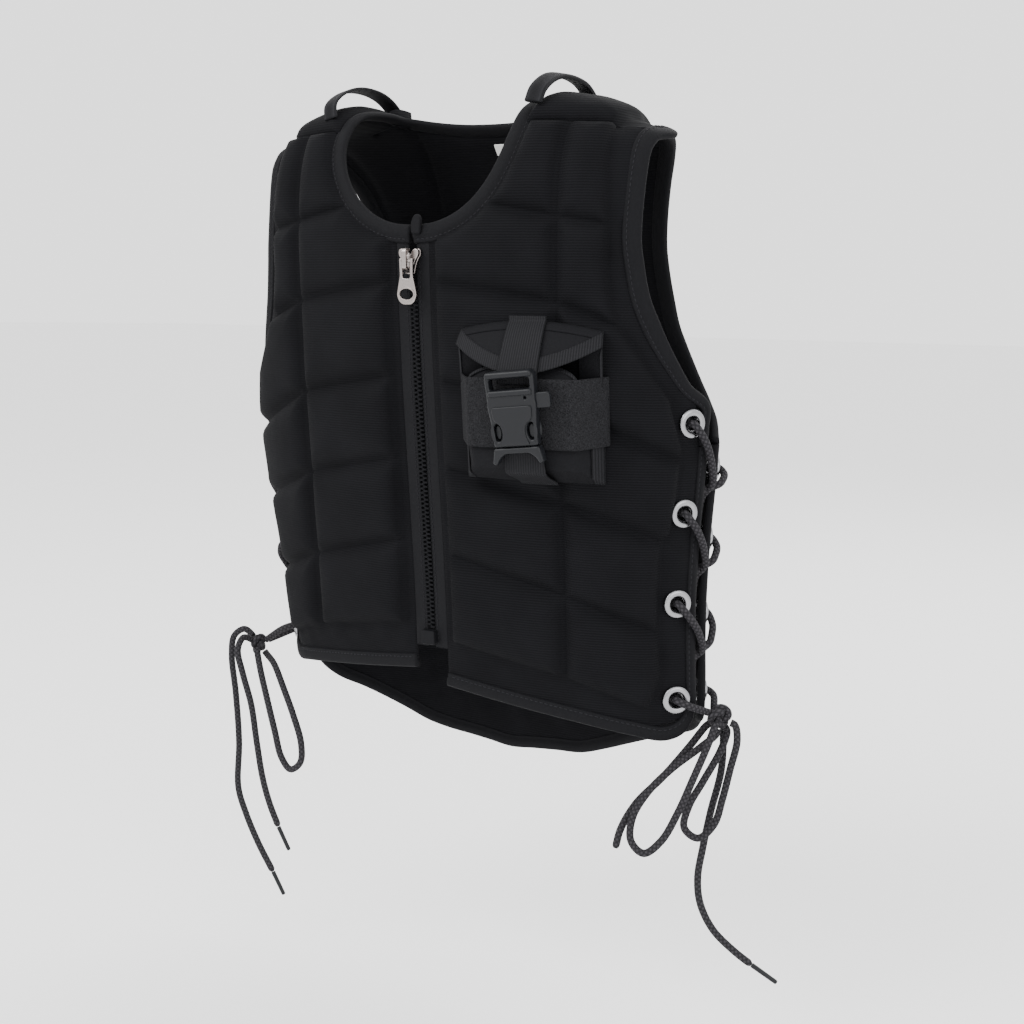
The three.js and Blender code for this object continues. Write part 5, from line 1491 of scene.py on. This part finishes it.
# across, thickness, and the way over the shoulder: face, turn and lift
LOOPS = {
    "right": (-85, 2, [("front", 0.6, -0.3), ("front", 0.67, 6.5), ("front", 0.8, 9.7), ("front", 0.93, 11.5),
                       ("back", 0.96, 10), ("back", 0.86, 6.5), ("back", 0.74, 0.8)]),
    "left": (80, 3.4, [("front", 0.6, 1.4), ("front", 0.68, 6), ("front", 0.82, 9), ("front", 0.94, 9.5),
                       ("back", 0.96, 7.5), ("back", 0.88, 4.5), ("back", 0.79, 1.4)]),
}
NECK_FOLD = {"at": (5.5, -67.5), "span": (2.2, 5.4), "bevel": 1.3}
NECK_FOLD_FACE = [(-3.6, -6), (3.2, -6.5), (4.2, 3.5), (2.6, 6.5), (-1.2, 6.5), (-3.8, 2)]
LABEL = {"half_width": 6, "half_height": 4.5, "z": 0.5, "half_depth": 0.3, "gap": 0.6}


def make_loops():
    for name, (across, thickness, way) in LOOPS.items():
        frames = [(*place_at_turn(face, across, 0, turn, lift), 1.0) for face, turn, lift in way]
        piece = swept("loop_" + name, even_frames(frames, LOOP_STEP), strap_section(LOOP_WIDTH, thickness))
        finish(piece, WEB, "shoulder_loop_" + name)
    basis = front_basis(*NECK_FOLD["at"], MARGIN_MIDDLE)
    plate("neck_fold", [rounded(NECK_FOLD_FACE, 1.8)], NECK_FOLD["span"], NECK_FOLD["bevel"], basis, TWILL)
    point, normal = place("back", 0, LABEL["z"], -PAD_THICKNESS - LABEL["gap"])
    across = np.array([1.0, 0, 0])
    basis = (point, across, unit(np.cross(normal, across)), normal)
    half_height, half_depth = LABEL["half_height"], LABEL["half_depth"]
    face = rounded(rectangle(LABEL["half_width"], -half_height, half_height), 0.7, 4)
    plate("blank_label", [face], (-half_depth, half_depth), 0.12, basis, LABEL_CLOTH, "neck_label")


make_loops()

# chest pouch: across and up are measured from its middle on the chest
POUCH = {"across": 90, "level": 0.441, "half": 48, "top": 57, "foot": -46, "mouth": 21, "depth": 20}
POUCH["front"] = 34
STRETCH = 0.96
WALL = 1.6
BASE = 0.6
ARCH = {"half": 35, "rise": 11}
FLAP = {"foot": 26, "flare": 16.5, "power": 1.7, "corner": 51, "fold": 28}
BAND = {"half": 22, "middle": 1, "thickness": 1.4, "reach": 51}
STRAP = {"half": 12.5, "thickness": 1.6, "step": 1.2}
GUSSET = {"inner": 33, "outer": 47.5, "foot": 17}
CLASP_LEAN = 0.11
CLASP_HALF = 16.5
OVER_BAND = BASE + POUCH["depth"] + WALL + BAND["thickness"] + 2 * CLEARANCE


def ease(t):
    t = np.clip(t, 0, 1)
    return t * t * (3 - 2 * t)


def on_chest(u, w, lift):
    x = POUCH["across"] + STRETCH * np.asarray(u)
    return place("front", x, height_of(POUCH["level"]) + np.asarray(w), lift)


def pouch_sheet(name, u, w, low, thickness, look, node=None):
    """A cloth over the chest from grids of across, up and its inner lift."""
    inner, normal = on_chest(u, w, low)
    outer = on_chest(u, w, low + thickness)[0]
    return finish(close_sheet(name, outer, inner, np.stack([u, w], -1), normal), look, node)


def crossed(us, ws):
    return np.meshgrid(us, ws, indexing="ij")


def even_steps(low, high, step):
    return np.linspace(low, high, max(int((high - low) / step), 2) + 1)


def grid(u0, u1, w0, w1, step=1.8):
    return crossed(even_steps(u0, u1, step), even_steps(w0, w1, step))


def flap_foot(u):
    return FLAP["foot"] + FLAP["flare"] * (np.abs(u) / POUCH["half"]) ** FLAP["power"]


def flap_top(u):
    return lerp(POUCH["top"], FLAP["corner"], (u / POUCH["half"]) ** 2)


def flap_low(u, w):
    fall = np.clip((flap_top(u) - w) / (POUCH["top"] - FLAP["fold"]), 0, 1)
    return BASE + (POUCH["depth"] + WALL + CLEARANCE) * fall**0.8


def mouth_at(u):
    """The pocket's arched mouth, sunk behind the band at both ends."""
    return POUCH["mouth"] + ARCH["rise"] * np.sqrt(np.maximum(1 - (u / ARCH["half"]) ** 2, 0))


def pocket_lift(u, w):
    front = np.clip((POUCH["half"] - np.abs(u)) / (POUCH["half"] - POUCH["front"]), 0, 1)
    sides = np.minimum(front, np.clip((w - POUCH["foot"]) / 12, 0, 1))
    return POUCH["depth"] * sides * (1 - 0.3 * ease((w - POUCH["mouth"]) / 10))


def make_pocket():
    half, foot, mouth = POUCH["half"], POUCH["foot"], POUCH["mouth"]
    u, w = grid(-half, half, foot, mouth)
    w = lerp(foot, mouth_at(u), (w - foot) / (mouth - foot))
    creases = 0.9 * (1 + ripple(np.stack([u * 0.45, w * 1.3, 0 * u], -1), 22, 41))
    lift = np.maximum(pocket_lift(u, w) - creases, 0)
    pocket = pouch_sheet("pouch_bag", u, w, BASE + lift, WALL, POUCH_CLOTH, "pouch_pocket")

    reach = BAND["reach"]
    u, w = grid(-reach, reach, BAND["middle"] - BAND["half"], BAND["middle"] + BAND["half"])
    rise = np.clip((reach - np.abs(u)) / (reach - POUCH["front"] - 1), 0, 1)
    low = BASE + (POUCH["depth"] + WALL + CLEARANCE) * rise
    pouch_sheet("pouch_elastic", u, w, low, BAND["thickness"], ELASTIC, "pouch_band")
    for side, name in SIDES:
        u, w = grid(41, GUSSET["outer"], foot, mouth, 1.6)
        low = BASE + pocket_lift(u, w) + WALL * 0.6
        pouch_sheet("pouch_side_tape_" + name, side * u, w, low, 0.9, WEB)
    u, w = grid(-34.8, 34.8, -1.8, 0.3, 0.7)
    w = w + mouth_at(u)
    pouch_sheet("pouch_mouth_hem", u, w, BASE + pocket_lift(u, w) - 0.9 + WALL * 0.5, 1.3, WEB)


def make_gussets():
    inner, outer = GUSSET["inner"], GUSSET["outer"]
    u, t = crossed(np.linspace(inner, outer, 121), np.linspace(0, 1, 12))
    w = lerp(GUSSET["foot"], flap_foot(u) + 2.5, t)
    low = BASE + lerp(2, 5.5, (u - inner) / (outer - inner)) + 1.5 * t
    for side, name in SIDES:
        pouch_sheet("pouch_gusset_" + name, side * u, w, low, 0.8, POUCH_CLOTH)
        edge = side * (u * 0.1 + 43)
        pouch_sheet("pouch_gusset_edge_" + name, edge, w, BASE + 5.6 + 1.5 * t, 1.2, WEB)


def make_flap():
    us = np.linspace(-POUCH["half"], POUCH["half"], 55)
    u, t = crossed(us, np.linspace(0, 1, 19))
    w = lerp(flap_foot(u), flap_top(u), t)
    flap = pouch_sheet("pouch_cover", u, w, flap_low(u, w), WALL, POUCH_CLOTH, "pouch_flap")
    u, t = crossed(us, np.linspace(-0.5, 8.5, 9))
    w = np.minimum(flap_foot(u) + t, flap_top(u) + 0.2 * t / 8.5 - 0.2)
    pouch_sheet("pouch_cover_tape", u, w, flap_low(u, w) + WALL * 0.6, 1.3, WEB)
    u, down = crossed(us, np.linspace(5, 0, 5))
    w = flap_top(u) - down
    pouch_sheet("pouch_cover_seam", u, w, flap_low(u, w) + WALL * 0.6, 1.1, POUCH_CLOTH)


def make_straps():
    half, thickness, step = STRAP["half"], STRAP["thickness"], STRAP["step"]
    u, w = grid(-half, half, 19.5, 60, step)
    low = flap_low(0 * u, np.maximum(w, FLAP["fold"])) + WALL + 2 * CLEARANCE
    pouch_sheet("strap_above", u, w, low, thickness, WEB, "pouch_strap_upper")
    u, w = grid(-half, half, -47.5, -20, step)
    low = lerp(BASE + WALL + CLEARANCE, OVER_BAND + 1.5, ease((w + 48.5) / 14))
    pouch_sheet("strap_below", u - CLASP_LEAN * w, w, low, thickness, WEB, "pouch_strap_lower")


def make_clasp():
    point, across, up, normal = front_basis(
        POUCH["across"], height_of(POUCH["level"]), OVER_BAND + CLEARANCE + 2
    )
    basis = (point, unit(across + CLASP_LEAN * up), unit(up - CLASP_LEAN * across), normal)
    half = CLASP_HALF

    def part(name, outlines, span, bevel, node=None):
        plate("clasp_" + name, outlines, span, bevel, basis, PLASTIC, node)

    edge = [(half - 2, 29.6), (half, 26), (half - 0.4, 10.5), (half, 8.6)]
    edge += [(half - 1.2, -2), (half - 2, -12), (half - 1.6, -18)]
    slot_hole = rounded(rectangle(13.3, 18.2, 25), 1.6)
    windows = [oval(side * 11.2, -8.5, 2.7, 5.4) for side, _ in SIDES]
    pin_hole = oval(9.5, 12.4, 0.7, 0.7, 12)
    body = [rounded(mirrored(edge), 2.2), slot_hole, *windows, pin_hole]
    part("body", body, (0, 8.6), 1.7, "buckle_socket")
    part("top_bar", [rounded([(-15.8, 25.4), (15.8, 25.4), (15.4, 29.4), (-15.4, 29.4)], 1.8)], (6, 10), 1.6)
    part("bar", [rounded(rectangle(14.6, 14, 18), 1.5)], (6, 10), 1.5)
    shield = [(-13.6, 7.6), (13.6, 7.6), (12.8, -1), (8.4, -4), (7.4, -9), (8.6, -14), (10, -17)]
    shield += [(-u, w) for u, w in reversed(shield[2:])]
    part("boss", [rounded(shield, 2.5)], (7.9, 9.7), 0.8)
    part("whistle", [rounded(rectangle(5, 5, 15, middle=half + 3.5), 2)], (2.5, 6.5), 0.9)
    for side, name in SIDES:
        part("prong_" + name, [oval(side * 11.2, -8.5, 2.0, 4.5)], (3.0, 6.4), 0.7)
    foot = [(half - 1.4, -18.3), (half - 0.6, -22.5), (half + 0.6, -28)]
    foot += [(half - 1.8, -29.6), (half - 4.6, -25), (half - 8.5, -22.2)]
    part("plug", [rounded(mirrored(foot), 1.8)], (0.5, 8.6), 1.5, "buckle_plug")


make_pocket()
make_gussets()
make_flap()
make_straps()
make_clasp()

# floor and light
FLOOR = {"size": 60, "z": -0.62}
WORLD_STRENGTH = 2.0
LIGHT_AIM = Vector((0, 0, -0.22))
# name, place, size and power
LIGHTS = [
    ("key", (-0.9, -1.8, 1.5), 1.4, 55),
    ("fill", (2.2, -1.2, 0.7), 1.8, 26),
    ("back", (0.4, 1.9, 1.6), 1.6, 34),
]


def make_stage():
    bpy.ops.mesh.primitive_plane_add(size=FLOOR["size"], location=(0, 0, FLOOR["z"]))
    floor = bpy.context.object
    floor.name = "floor"
    pale = satin_look("floor", "", (0.93, 0.93, 0.93), 3, (0.86, 0.94), 0.02, specular=CLOTH_SPECULAR)
    floor.data.materials.append(pale[0])
    world = bpy.data.worlds.new("studio")
    bpy.context.scene.world = world
    world.use_nodes = True
    background = world.node_tree.nodes["Background"]
    background.inputs["Color"].default_value = (1, 1, 1, 1)
    background.inputs["Strength"].default_value = WORLD_STRENGTH
    for name, where, size, power in LIGHTS:
        data = bpy.data.lights.new(name, "AREA")
        data.size = size
        data.energy = power
        lamp = shown(name, data)
        lamp.location = where
        lamp.rotation_euler = (LIGHT_AIM - Vector(where)).to_track_quat("-Z", "Y").to_euler()


make_stage()
